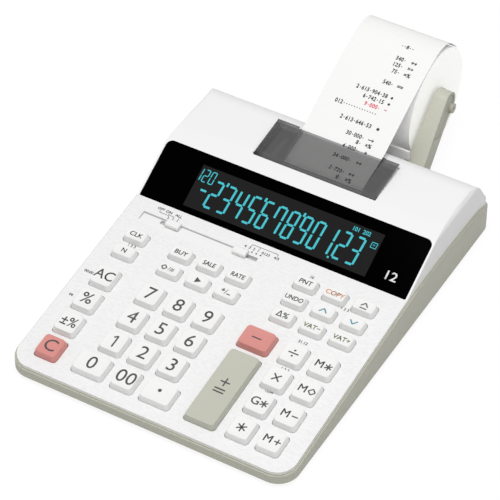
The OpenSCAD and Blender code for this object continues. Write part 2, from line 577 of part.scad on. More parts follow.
// side outline of the recess in an arm's outer face
module recess_side() {
  r = arm_r - recess_rim;
  translate(tip) circle(r, $fn = 48);
  polygon([on_arc(tip, r, 131), on_arc(tip, r, 131) - recess_l * [cos(41), sin(41)],
    on_arc(tip, r, -52) - (recess_l - 5) * [cos(39.5), sin(39.5)], on_arc(tip, r, -52)]);
}
module arm(s, t) color(BEIGE) sided(s) {
  outer = [[arm_x1, case_l - 1.4], [arm_x0 + t, roll_y - 6], [arm_x0 + t, roll_y + 20]];
  difference() {
    union() {
      difference() {
        intersection() {
          translate([20, 0, 0]) rotate([90, 0, 90]) linear_extrude(60) arm_side();
          linear_extrude(100) polygon(concat([[arm_x0, case_l - 1.4], [arm_x0 + 1, case_l - 1.4],
            [arm_x0 + 1, case_l - 24], [arm_x1 - 1.6, case_l - 24], [arm_x1 - 1.6, case_l - 2.5]],
            outer, [[arm_x0, roll_y + 20]]));
        }
        intersection() {
          translate([20, 0, 0]) rotate([90, 0, 90]) linear_extrude(60) recess_side();
          linear_extrude(100) polygon(concat([for (p = outer) p - [recess_t, 0]],
            [[arm_x1 + 9, roll_y + 20], [arm_x1 + 9, case_l - 1.4]]));
        }
      }
      rod_x(arm_x0 - 1.4, arm_x0 + 1, roll_y, roll_z, hub_r, 48);
      rod_x(arm_x0 + 5, arm_x0 + t + 1.6, roll_y, roll_z, 3.4, 32);
      translate([arm_x0 - 1, roll_y, roll_z]) rotate([0, -90, 0])
        cylinder(h = 4.8, r1 = core_r - 0.12, r2 = core_r - 1.6, $fn = 32);
    }
    rod_x(arm_x0 + t + 0.4, arm_x0 + t + 3, roll_y, roll_z, 1.2, 16);
    translate([pivot_x, pivot_y, 0]) cylinder(h = 60, r = 1.5 + run_gap, $fn = 24);
  }
}
module right_paper_arm() { arm(1, arm_t); }
module left_paper_arm() { arm(-1, arm_tl); }

translate([0, -y_mid, 0]) {
  upper_case();
  lower_case();
  display_window();
  lcd_module();
  printer_cover();
  right_paper_arm();
  left_paper_arm();
  paper_roll();
  paper_strip();
  main_board();
  key_mat();
  rubber_feet();
  battery_cover();
  printer_frame();
  platen_roller();
  for (s = SLIDES) slide(s);
  for (k = KEYS) key(k);
}
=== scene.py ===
"""Looks of a printing desk calculator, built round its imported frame.

Lengths are in metres, in the frame's own axes: +X across the width, +Y towards the paper roll, +Z up.
"""

import logging
import math
from dataclasses import dataclass, field
from enum import Enum
from typing import Any, Callable, ClassVar, Iterable, Mapping, Sequence, Union

import bmesh
import bpy
from mathutils import Matrix, Vector


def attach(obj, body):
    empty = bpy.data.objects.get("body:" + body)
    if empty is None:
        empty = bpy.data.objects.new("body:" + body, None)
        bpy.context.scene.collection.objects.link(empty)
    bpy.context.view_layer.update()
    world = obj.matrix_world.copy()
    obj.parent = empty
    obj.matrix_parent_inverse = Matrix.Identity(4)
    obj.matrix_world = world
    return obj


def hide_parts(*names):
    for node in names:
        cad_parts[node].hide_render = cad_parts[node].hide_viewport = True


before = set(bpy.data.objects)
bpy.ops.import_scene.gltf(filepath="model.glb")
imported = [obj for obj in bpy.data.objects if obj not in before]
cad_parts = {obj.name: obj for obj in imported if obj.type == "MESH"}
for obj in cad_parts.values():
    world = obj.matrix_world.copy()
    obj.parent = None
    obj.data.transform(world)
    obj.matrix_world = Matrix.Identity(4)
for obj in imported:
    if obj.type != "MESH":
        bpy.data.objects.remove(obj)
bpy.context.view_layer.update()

MM = 0.001
MIDDLE = 171.65 * MM  # from the case's front edge back to the frame's origin
log = logging.getLogger("calculator")

Colour = tuple[float, float, float, float]
Point = tuple[float, float]
Stroke = tuple[float, float, float, float]
Operand = Union["Value", float]


def tint(code: str) -> Colour:
    """Turns a web colour into scene-linear light.

    Args:
        code: Six hexadecimal digits.

    Returns:
        Red, green, blue and an alpha of 1.
    """
    parts = [int(code[i:i + 2], 16) / 255 for i in (0, 2, 4)]
    linear = [c / 12.92 if c <= 0.04045 else ((c + 0.055) / 1.055) ** 2.4 for c in parts]
    return (linear[0], linear[1], linear[2], 1.0)


def scaled(colour: Colour, *shares: float) -> Colour:
    """Makes a colour lighter or darker.

    Args:
        colour: The colour.
        shares: What its light is multiplied by: one number, or one each for red, green and blue.

    Returns:
        The new colour.
    """
    red, green, blue = shares * 3 if len(shares) == 1 else shares
    return (colour[0] * red, colour[1] * green, colour[2] * blue, 1.0)


@dataclass(frozen=True)
class Slope:
    """A sloping face of the case, with x across it, s up it and n out of it."""

    y: float
    z: float
    angle: float

    def matrix(self, x: float = 0.0, s: float = 0.0, n: float = 0.0) -> Matrix:
        """Gives the placing of something that lies on the slope.

        Args:
            x: How far across.
            s: How far up the slope.
            n: How far out of it.

        Returns:
            The placing.
        """
        base = Matrix.Translation((0, self.y, self.z)) @ Matrix.Rotation(math.radians(self.angle), 4, "X")
        return base @ Matrix.Translation((x, s, n))

    def span(self, node: str) -> tuple[Vector, Vector]:
        """Measures a CAD node along the slope's own axes.

        Args:
            node: The node.

        Returns:
            Its lowest and highest corner as x, s and n.
        """
        back = self.matrix().inverted()
        points = [back @ vertex.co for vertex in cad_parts[node].data.vertices]
        return (Vector([min(p[i] for p in points) for i in range(3)]),
                Vector([max(p[i] for p in points) for i in range(3)]))


PANEL = Slope(-MIDDLE, 11.4 * MM, 6.75)
WINDOW = Slope(149.37 * MM - MIDDLE, 29.28 * MM, 27.7)


# ---------------------------------------------------------------- shaders


class Value:
    """A number that varies over a surface: a shader socket that can be reckoned with."""

    def __init__(self, graph: "Graph", socket: bpy.types.NodeSocket) -> None:
        """Wraps a socket.

        Args:
            graph: The graph that the socket belongs to.
            socket: The output socket.
        """
        self.graph = graph
        self.socket = socket

    def math(self, operation: str, *others: Operand, first: bool = True) -> "Value":
        """Adds a Math node.

        Args:
            operation: The node's operation.
            others: The other operands.
            first: False puts this value after the others.

        Returns:
            The result.
        """
        operands: list[Operand] = [self, *others] if first else [*others, self]
        made = self.graph.node("ShaderNodeMath", {"operation": operation}, dict(enumerate(operands)))
        return Value(self.graph, made.outputs[0])

    def __add__(self, other: Operand) -> "Value":
        """Adds."""
        return self.math("ADD", other)

    __radd__ = __add__

    def __sub__(self, other: Operand) -> "Value":
        """Takes away."""
        return self.math("SUBTRACT", other)

    def __rsub__(self, other: Operand) -> "Value":
        """Is taken away."""
        return self.math("SUBTRACT", other, first=False)

    def __mul__(self, other: Operand) -> "Value":
        """Multiplies."""
        return self.math("MULTIPLY", other)

    __rmul__ = __mul__

    def __truediv__(self, other: Operand) -> "Value":
        """Divides."""
        return self.math("DIVIDE", other)

    def __rtruediv__(self, other: Operand) -> "Value":
        """Divides the other."""
        return self.math("DIVIDE", other, first=False)

    def __pow__(self, other: Operand) -> "Value":
        """Raises to a power."""
        return self.math("POWER", other)

    def __rpow__(self, other: Operand) -> "Value":
        """Is the power that the other is raised to."""
        return self.math("POWER", other, first=False)

    def __gt__(self, other: Operand) -> "Value":
        """Is 1 where this is the greater."""
        return self.math("GREATER_THAN", other)

    def __lt__(self, other: Operand) -> "Value":
        """Is 1 where this is the lesser."""
        return self.math("LESS_THAN", other)

    def __abs__(self) -> "Value":
        """Drops the sign."""
        return self.math("ABSOLUTE")

    def between(self, low: float, high: float) -> "Value":
        """Is 1 inside a range and 0 outside it.

        Args:
            low: The lower limit.
            high: The upper limit.

        Returns:
            The mask.
        """
        return (self > low) * (self < high)


class Graph:
    """The nodes of a material or of the world, under construction."""

    def __init__(self, tree: bpy.types.NodeTree) -> None:
        """Starts with an empty tree.

        Args:
            tree: The tree that the nodes go into.
        """
        self.tree = tree
        self.tree.nodes.clear()

    def node(self, kind: str, settings: Mapping[str, Any] | None = None,
             inputs: Mapping[Any, Any] | None = None) -> bpy.types.Node:
        """Adds any node.

        Args:
            kind: The node's type.
            settings: Its settings, set first.
            inputs: Numbers, colours or links for its sockets, by name or place.

        Returns:
            The node.
        """
        made = self.tree.nodes.new(kind)
        for key, value in (settings or {}).items():
            setattr(made, key, value)
        for key, value in (inputs or {}).items():
            self.feed(made.inputs[key], value)
        return made

    def feed(self, target: bpy.types.NodeSocket, value: Any) -> None:
        """Links or sets an input socket.

        Args:
            target: The input socket.
            value: A Value, an output socket, a number or a colour.
        """
        if isinstance(value, Value):
            value = value.socket
        if isinstance(value, bpy.types.NodeSocket):
            self.tree.links.new(value, target)
        else:
            target.default_value = value


class Shader(Graph):
    """A material with a Principled surface."""

    def __init__(self, name: str) -> None:
        """Starts a material.

        Args:
            name: The material's name.
        """
        self.material = bpy.data.materials.new(name)
        self.material.use_nodes = True
        super().__init__(self.material.node_tree)
        self.surface = self.node("ShaderNodeBsdfPrincipled")
        self.output = self.node("ShaderNodeOutputMaterial", None, {"Surface": self.surface.outputs[0]})

    def set(self, **inputs: Any) -> None:
        """Sets sockets of the surface; an underscore in a name stands for a space."""
        for key, value in inputs.items():
            self.feed(self.surface.inputs[key.replace("_", " ")], value)

    def place(self) -> bpy.types.NodeSocket:
        """Gives the point on the object, in metres."""
        return self.node("ShaderNodeTexCoord").outputs["Object"]

    def axes(self, vector: bpy.types.NodeSocket | None = None) -> tuple[Value, Value, Value]:
        """Splits a point into its three numbers.

        Args:
            vector: The point; the point on the object if left out.

        Returns:
            X, Y and Z.
        """
        split = self.node("ShaderNodeSeparateXYZ", None, {0: vector or self.place()})
        x, y, z = (Value(self, out) for out in split.outputs)
        return x, y, z

    def noise(self, per_metre: float, detail: float = 2.0, stretch: Sequence[float] = (1, 1, 1),
              turn: float = 0.0) -> Value:
        """Adds noise on the object's own points.

        Args:
            per_metre: How many cells go into a metre.
            detail: The noise's detail.
            stretch: The scale along each axis.
            turn: How far it is turned about Z, in degrees.

        Returns:
            The noise, about 0 to 1.
        """
        mapped = self.node("ShaderNodeMapping", None, {
            "Vector": self.place(), "Rotation": (0, 0, math.radians(turn)), "Scale": tuple(stretch)})
        made = self.node("ShaderNodeTexNoise", None, {
            "Vector": mapped.outputs[0], "Scale": per_metre, "Detail": detail})
        return Value(self, made.outputs["Fac"])

    def wander(self, per_metre: float, low: float, spread: float) -> Value:
        """Gives a number that changes gently over the surface.

        Args:
            per_metre: How many changes go into a metre.
            low: Its lowest value.
            spread: How far it rises above that.

        Returns:
            The number.
        """
        return self.noise(per_metre) * spread + low

    def mix(self, amount: Operand, first: Any, second: Any) -> bpy.types.NodeSocket:
        """Mixes two colours.

        Args:
            amount: 0 gives the first and 1 the second.
            first: A colour or a link.
            second: A colour or a link.

        Returns:
            The mixed colour.
        """
        made = self.node("ShaderNodeMix", {"data_type": "RGBA"}, {0: amount, 6: first, 7: second})
        return made.outputs[2]

    def bump(self, height: Value, depth: float) -> None:
        """Raises the surface's relief.

        Args:
            height: The relief, about 0 to 1.
            depth: The relief's depth in metres.
        """
        made = self.node("ShaderNodeBump", None, {"Height": height, "Distance": depth, "Strength": 1.0})
        self.set(Normal=made.outputs[0])


# ---------------------------------------------------------------- finishes


@dataclass(frozen=True)
class Finish:
    """A finish that pieces are dressed in, made into a material once."""

    name: str
    colour: str
    polish: ClassVar[float] = 300.0
    made: ClassVar[dict[str, bpy.types.Material]] = {}

    def paint(self, shader: Shader) -> None:
        """Fills in the shader.

        Args:
            shader: The shader to fill in.
        """
        raise NotImplementedError

    def material(self) -> bpy.types.Material:
        """Gives the finish's material, making it when first asked."""
        if self.name not in Finish.made:
            shader = Shader(self.name)
            self.paint(shader)
            Finish.made[self.name] = shader.material
        return Finish.made[self.name]

    def dress(self, piece: bpy.types.Object) -> None:
        """Puts the finish on a piece."""
        piece.data.materials.clear()
        piece.data.materials.append(self.material())


@dataclass(frozen=True)
class Moulded(Finish):
    """Moulded plastic with a fine spark-eroded grain and slight unevenness of shade."""

    roughness: float = 0.45
    grain: float = 1400.0
    depth: float = 0.04 * MM
    shade: float = 0.03
    clouds: ClassVar[float] = 18.0
    polish: ClassVar[float] = 260.0
    unevenness: ClassVar[float] = 0.12

    def paint(self, shader: Shader) -> None:
        """Fills in the shader.

        Args:
            shader: The shader to fill in.
        """
        base = tint(self.colour)
        shader.set(Base_Color=shader.mix(shader.noise(self.clouds, 3.0), base, scaled(base, 1 - self.shade)),
                   Roughness=shader.wander(self.polish, self.roughness - self.unevenness / 2, self.unevenness))
        shader.bump(shader.noise(self.grain), self.depth)


@dataclass(frozen=True)
class Area:
    """A rectangle of the case seen from above, with its depth counted from the case's front edge."""

    left: float
    right: float
    low: float
    high: float

    def mask(self, x: Value, y: Value) -> Value:
        """Is 1 inside the rectangle and 0 outside it.

        Args:
            x: The place across the case.
            y: The place along it, in the frame's axes.

        Returns:
            The mask.
        """
        return x.between(self.left, self.right) * y.between(self.low - MIDDLE, self.high - MIDDLE)


@dataclass(frozen=True)
class PanelWhite(Moulded):
    """Case plastic, smooth on the housing and in the switch channel, finely hatched on the panel, with a
    painted shadow on the channel's rear and left end walls.
    """

    front: float = 149.0 * MM
    channel: Area = Area(-84.6 * MM, -16.0 * MM, 130.3 * MM, 138.8 * MM)
    # Painted shadow: the channel's rear and left end walls are darkened where the step down into the channel
    # throws shade.
    rear_wall_shadow: Area = Area(-84.9 * MM, -16.0 * MM, 138.1 * MM, 139.2 * MM)
    end_wall_shadow: Area = Area(-84.9 * MM, -84.1 * MM, 132.3 * MM, 138.8 * MM)
    wall_shadow_share: float = 0.62
    hatch: float = 1500.0
    hatch_angles: tuple[float, float] = (16.0, -24.0)
    hatch_stretch: tuple[float, float, float] = (0.22, 1.0, 1.0)
    patches: float = 120.0
    contrast: float = 0.06
    sharpness: float = 5.0
    fill: float = 0.3

    def paint(self, shader: Shader) -> None:
        """Fills in the shader.

        Args:
            shader: The shader to fill in.
        """
        super().paint(shader)
        x, y, _ = shader.axes()
        one, other = (shader.noise(self.hatch, 0.5, self.hatch_stretch, angle) for angle in self.hatch_angles)
        patch = shader.noise(self.patches, 1.0) > 0.5
        weave = one * patch + other * (1.0 - patch)
        panel = (y < (self.front - MIDDLE)) * (1.0 - self.channel.mask(x, y))
        amount = ((weave - 0.5) * self.sharpness + self.fill) * panel
        # Painted shadow on the channel's rear and left end walls.
        painted_wall_shadow = self.rear_wall_shadow.mask(x, y).math("MAXIMUM", self.end_wall_shadow.mask(x, y))
        base = tint(self.colour)
        hatched = shader.mix(amount, base, scaled(base, 1 - self.contrast))
        shader.set(Base_Color=shader.mix(painted_wall_shadow, hatched, scaled(base, self.wall_shadow_share)))


@dataclass(frozen=True)
class Ink(Finish):
    """A printed mark."""

    roughness: float = 0.55
    speckle: ClassVar[float] = 2500.0
    thinness: ClassVar[float] = 0.06

    def paint(self, shader: Shader) -> None:
        """Fills in the shader.

        Args:
            shader: The shader to fill in.
        """
        base = tint(self.colour)
        red, green, blue = (c + (1 - c) * self.thinness for c in base[:3])
        shader.set(Base_Color=shader.mix(shader.noise(self.speckle), base, (red, green, blue, 1.0)),
                   Roughness=self.roughness)


@dataclass(frozen=True)
class Lit(Finish):
    """A lit segment of the display."""

    strength: float = 0.9
    flicker: ClassVar[float] = 900.0
    dimmest: ClassVar[float] = 0.9

    def paint(self, shader: Shader) -> None:
        """Fills in the shader.

        Args:
            shader: The shader to fill in.
        """
        base = tint(self.colour)
        glow = shader.mix(shader.noise(self.flicker), base, scaled(base, self.dimmest))
        shader.set(Base_Color=(0.0, 0.0, 0.0, 1.0), Emission_Color=glow,
                   Emission_Strength=self.strength, Roughness=0.5, Specular_IOR_Level=0.1)


@dataclass(frozen=True)
class WindowGloss(Finish):
    """Glossy black window with a slightly paler field over the display glass."""

    field_colour: str = "202020"
    half_width: float = 64.8 * MM
    low: float = 4.15 * MM
    high: float = 33.6 * MM
    roughness: float = 0.08
    unevenness: float = 0.04
    sheen: float = 0.004

    def paint(self, shader: Shader) -> None:
        """Fills in the shader.

        Args:
            shader: The shader to fill in.
        """
        mapped = shader.node("ShaderNodeMapping", {"vector_type": "TEXTURE"}, {
            "Vector": shader.place(), "Location": (0, WINDOW.y, WINDOW.z),
            "Rotation": (math.radians(WINDOW.angle), 0, 0)})
        across, up, _ = shader.axes(mapped.outputs[0])
        glass = (abs(across) < self.half_width) * up.between(self.low, self.high)
        shader.set(Base_Color=shader.mix(glass, tint(self.colour), tint(self.field_colour)),
                   Roughness=shader.wander(self.polish, self.roughness, self.unevenness),
                   Specular_IOR_Level=self.sheen)


@dataclass(frozen=True)
class Smoked(Finish):
    """Smoked see-through plastic that takes its tint from the skin of its upper side and its front bead.

    It is clear over the paper, and denser and paler to both sides; towards the left edge it fades to black, a
    painted shadow.
    """

    opacity: float = 0.56
    side_opacity: float = 0.87
    side_paleness: float = 3.6
    # Painted shadow: the black that the cover fades to at its left edge.
    black: Colour = (0.004, 0.004, 0.004, 1.0)
    front: float = 198.2 * MM - MIDDLE
    height: float = 51.05 * MM
    slope: float = 7.6
    left: float = -40.1 * MM
    left_shadow_width: float = 7.0 * MM
    clear: tuple[float, float] = (-20.9 * MM, 36.0 * MM)
    clear_from: float = 2.4 * MM
    skin: float = 0.5 * MM
    bead_depth: float = 1.2 * MM
    bead_height: float = 2.4 * MM
    roughness: float = 0.12
    unevenness: float = 0.05

    def paint(self, shader: Shader) -> None:
        """Fills in the shader.

        Args:
            shader: The shader to fill in.
        """
        x, y, z = shader.axes()
        base = tint(self.colour)
        middle = x.between(*self.clear) * (y > self.front + self.clear_from)
        # Painted shadow: the sides darken to black towards the left edge.
        left_shadow_fade = ((x - self.left) / self.left_shadow_width).math("MINIMUM", 1.0)
        side = shader.mix(left_shadow_fade, self.black, scaled(base, self.side_paleness))
        shader.set(Base_Color=shader.mix(middle, side, base),
                   Roughness=shader.wander(self.polish, self.roughness, self.unevenness))
        skin = z > (y - self.front) * math.tan(math.radians(self.slope)) + (self.height - self.skin)
        bead = (y < self.front + self.bead_depth) * (z > self.height - self.bead_height)
        opacity = middle * (self.opacity - self.side_opacity) + self.side_opacity
        shader.set(Alpha=skin.math("MAXIMUM", bead) * opacity)


@dataclass(frozen=True)
class Paper(Finish):
    """Smooth paper with faint fibres and a glow that is painted light; wound on an axis, its ends show rings
    and glow brighter than its wound face.
    """

    axis: Point | None = None
    # Painted light: the glow's strength, and the dimmer glow colour of the wound face.
    glow: float = 0.0
    wound_face_painted_light: str = "9A9A9A"
    warmth: tuple[float, float, float] = (0.985, 0.98, 0.965)
    fibres: float = 700.0
    fibre_stretch: tuple[float, float, float] = (0.3, 1.0, 1.0)
    rings: float = 9000.0
    ring_relief: float = 0.3
    fibre_relief: float = 0.4
    relief: float = 0.02 * MM
    roughness: float = 0.75
    unevenness: float = 0.1
    polish: ClassVar[float] = 90.0

    def paint(self, shader: Shader) -> None:
        """Fills in the shader.

        Args:
            shader: The shader to fill in.
        """
        base = tint(self.colour)
        height = fibres = shader.noise(self.fibres, 4.0, self.fibre_stretch)
        paper = glow = shader.mix(fibres, base, scaled(base, *self.warmth))
        if self.axis is not None:
            facing, _, _ = shader.axes(shader.node("ShaderNodeTexCoord").outputs["Normal"])
            # Painted light: the ends glow in the paper's colour, the wound face dimmer.
            glow = shader.mix(abs(facing) > 0.7, tint(self.wound_face_painted_light), paper)
            _, y, z = shader.axes()
            from_axis = ((y - self.axis[0]) ** 2 + (z - self.axis[1]) ** 2) ** 0.5
            height = (from_axis * self.rings).math("SINE") * self.ring_relief + fibres * self.fibre_relief
        shader.set(Base_Color=paper, Emission_Color=glow, Emission_Strength=self.glow,
                   Roughness=shader.wander(self.polish, self.roughness, self.unevenness))
        shader.bump(height, self.relief)


WHITE_CASE = PanelWhite("white_case", "DFDFDF", grain=1500.0, depth=0.006 * MM, shade=0.01)
WHITE_KEY = Moulded("white_key", "E0E0DF", roughness=0.38, grain=2200.0, depth=0.005 * MM, shade=0.01)
RED_KEY = Moulded("red_key", "CA847E", roughness=0.38, grain=2200.0, depth=0.006 * MM)
PUTTY_KEY = Moulded("putty_key", "B3B4A7", roughness=0.38, grain=2200.0, depth=0.006 * MM, shade=0.04)
BEIGE_CASE = Moulded("beige_case", "B1B1A4", roughness=0.5, grain=1500.0, depth=0.01 * MM)
BLACK_RUBBER = Moulded("black_rubber", "2B2B2C", roughness=0.75, grain=900.0, depth=0.03 * MM, shade=0.2)
DARK_PLASTIC = Moulded("dark_plastic", "39393A", grain=1300.0, depth=0.02 * MM, shade=0.1)
GREY_PLASTIC = Moulded("grey_plastic", "D4D4D4", grain=1300.0, depth=0.02 * MM, shade=0.1)
GREEN_BOARD = Moulded("green_board", "1E5A34", roughness=0.35, grain=700.0, depth=0.01 * MM, shade=0.2)
GREY_MAT = Moulded("grey_mat", "8A8C8E", roughness=0.7, grain=900.0, depth=0.02 * MM, shade=0.1)
SLOT_GREY = Moulded("slot_grey", "B4B4B4", roughness=0.5, grain=1300.0, depth=0.02 * MM, shade=0.1)
GREY_INK = Ink("grey_ink", "343431")
ORANGE_INK = Ink("orange_ink", "C67A1E")
TEAL_INK = Ink("teal_ink", "15808D")
OLIVE_INK = Ink("olive_ink", "5A6B1C")
BLACK_INK = Ink("black_ink", "161616", 0.7)
RED_INK = Ink("red_ink", "D8465A", 0.7)
SILVER_INK = Ink("silver_ink", "D8D8D8", 0.4)
CYAN_LIGHT = Lit("cyan_light", "4FD0DC")
BLACK_WINDOW = WindowGloss("black_window", "010101")
SMOKED_COVER = Smoked("smoked_cover", "2A2A2A")
STRIP_PAPER = Paper("strip_paper", "E3E3E3")
# The roll glows: painted light that brightens its ends and its wound face.
ROLL_PAPER = Paper("roll_paper", "F4F4F3", axis=(306 * MM - MIDDLE, 45.5 * MM), glow=0.29)


# ---------------------------------------------------------------- mesh work


class Bench:
    """Modelling steps that every sub-assembly uses."""

    round_from: ClassVar[float] = 28.0
    smooth_to: ClassVar[float] = 32.0
    flat_to: ClassVar[float] = 0.4
    copy_gap: ClassVar[float] = 0.004 * MM

    @staticmethod
    def clear() -> None:
        """Leaves object mode with nothing selected."""
        if bpy.context.object and bpy.context.object.mode != "OBJECT":
            bpy.ops.object.mode_set(mode="OBJECT")
        bpy.ops.object.select_all(action="DESELECT")

    @staticmethod
    def only(piece: bpy.types.Object) -> None:
        """Selects one object alone and makes it active.

        Args:
            piece: The object.
        """
        Bench.clear()
        piece.select_set(True)
        bpy.context.view_layer.objects.active = piece

    @staticmethod
    def edit(piece: bpy.types.Object, mode: str) -> None:
        """Opens a piece for editing with nothing selected.

        Args:
            piece: The piece.
            mode: What is selected: VERT, EDGE or FACE.
        """
        Bench.only(piece)
        bpy.ops.object.mode_set(mode="EDIT")
        bpy.ops.mesh.select_mode(type=mode)
        bpy.ops.mesh.select_all(action="DESELECT")

    @staticmethod
    def pick(piece: bpy.types.Object, test: Callable[[Any], bool], kind: str = "faces") -> None:
        """Selects what passes a test and nothing else, in a piece that is open for editing.

        Args:
            piece: The piece.
            test: The test of a face or edge.
            kind: "faces" or "edges".
        """
        bpy.ops.mesh.select_all(action="DESELECT")
        mesh = bmesh.from_edit_mesh(piece.data)
        for part in [part for part in getattr(mesh, kind) if test(part)]:
            part.select_set(True)
        mesh.select_flush_mode()
        bmesh.update_edit_mesh(piece.data)

    @staticmethod
    def block(name: str, low: Sequence[float], high: Sequence[float]) -> bpy.types.Object:
        """Adds a block between two corners.

        Args:
            name: The block's name.
            low: Its lowest corner.
            high: Its highest corner.

        Returns:
            The block, with its place in its mesh.
        """
        Bench.clear()
        middle = [(a + b) / 2 for a, b in zip(low, high)]
        bpy.ops.mesh.primitive_cube_add(size=1, location=middle)
        piece = bpy.context.object
        piece.scale = [b - a for a, b in zip(low, high)]
        piece.name = piece.data.name = name
        bpy.ops.object.transform_apply(location=True, rotation=True, scale=True)
        return piece

    @staticmethod
    def bake(piece: bpy.types.Object) -> None:
        """Applies all modifiers of a piece, in order."""
        Bench.only(piece)
        for modifier in list(piece.modifiers):
            bpy.ops.object.modifier_apply(modifier=modifier.name)

    @staticmethod
    def soften(piece: bpy.types.Object, width: float, segments: int) -> None:
        """Rounds the sharp edges of a piece.

        Args:
            piece: The piece.
            width: The width of the rounding.
            segments: Its steps.
        """
        bevel = piece.modifiers.new("round", "BEVEL")
        bevel.width, bevel.segments = width, segments
        bevel.limit_method, bevel.angle_limit = "ANGLE", math.radians(Bench.round_from)
        bevel.miter_outer = "MITER_ARC"
        bevel.harden_normals = False
        Bench.bake(piece)

    @staticmethod
    def smooth(piece: bpy.types.Object, angle: float = smooth_to) -> None:
        """Shades a piece smooth.

        Args:
            piece: The piece.
            angle: Sharper edges than this stay sharp, in degrees.
        """
        Bench.only(piece)
        bpy.ops.object.shade_smooth_by_angle(angle=math.radians(angle))
        weigh = piece.modifiers.new("weigh", "WEIGHTED_NORMAL")
        weigh.keep_sharp, weigh.weight = True, 90
        Bench.bake(piece)

    @staticmethod
    def merge(piece: bpy.types.Object, gap: float) -> None:
        """Opens a piece, selects all of it and merges its doubles.

        Args:
            piece: The piece, which stays open for editing.
            gap: How far apart doubles may lie.
        """
        Bench.edit(piece, "VERT")
        bpy.ops.mesh.select_all(action="SELECT")
        bpy.ops.mesh.remove_doubles(threshold=gap)

    @staticmethod
    def refined(node: str, name: str, width: float, segments: int) -> bpy.types.Object:
        """Copies a node's shape into a clean mesh with rounded edges.

        Args:
            node: The CAD node.
            name: The new piece's name.
            width: The width of the rounding; 0 leaves the edges sharp.
            segments: The steps of the rounding.

        Returns:
            The new piece, which replaces the node.
        """
        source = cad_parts[node]
        piece = bpy.data.objects.new(name, source.data.copy())
        piece.data.name = name
        bpy.context.scene.collection.objects.link(piece)
        Bench.only(piece)
        if piece.data.has_custom_normals:
            bpy.ops.mesh.customdata_custom_splitnormals_clear()
        Bench.merge(piece, Bench.copy_gap)
        bpy.ops.mesh.dissolve_limited(angle_limit=math.radians(Bench.flat_to))
        Bench.clear()
        if width:
            Bench.soften(piece, width, segments)
        Bench.smooth(piece)
        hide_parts(node)
        return piece

    @staticmethod
    def hand_over(piece: bpy.types.Object, finish: Finish, body: str, slot: str,
                  place: Matrix | None = None) -> bpy.types.Object:
        """Finishes a piece: puts it in its place, dresses it and lets it ride.

        Args:
            piece: The piece.
            finish: Its finish.
            body: The body that it rides on.
            slot: The record's material slot; not used.
            place: Its place, put into its mesh.

        Returns:
            The piece.
        """
        Bench.only(piece)
        bpy.ops.object.transform_apply(location=True, rotation=True, scale=True)
        if place is not None:
            piece.data.transform(place)
        finish.dress(piece)
        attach(piece, body)
        log.info("%s: %d faces on %s", piece.name, len(piece.data.polygons), body)
        return piece


@dataclass(frozen=True)
class Dressed:
    """A piece that is its CAD node with rounded edges and a finish."""

    node: str
    name: str
    finish: Finish
    body: str
    slot: str
    edge: float = 0.35 * MM
    segments: int = 2

    def build(self) -> bpy.types.Object:
        """Builds and dresses the piece."""
        piece = Bench.refined(self.node, self.name, self.edge, self.segments)
        return Bench.hand_over(piece, self.finish, self.body, self.slot)


class Mark(Enum):
    """Shapes that the type face lacks."""

    TRIANGLE = "triangle"
    DIAMOND = "diamond"
    UP = "up"
    DOWN = "down"
    BAR = "bar"
    STAR = "star"
    PLUS = "plus"
    CROSS = "cross"
    DOT = "dot"
    ONE = "one"


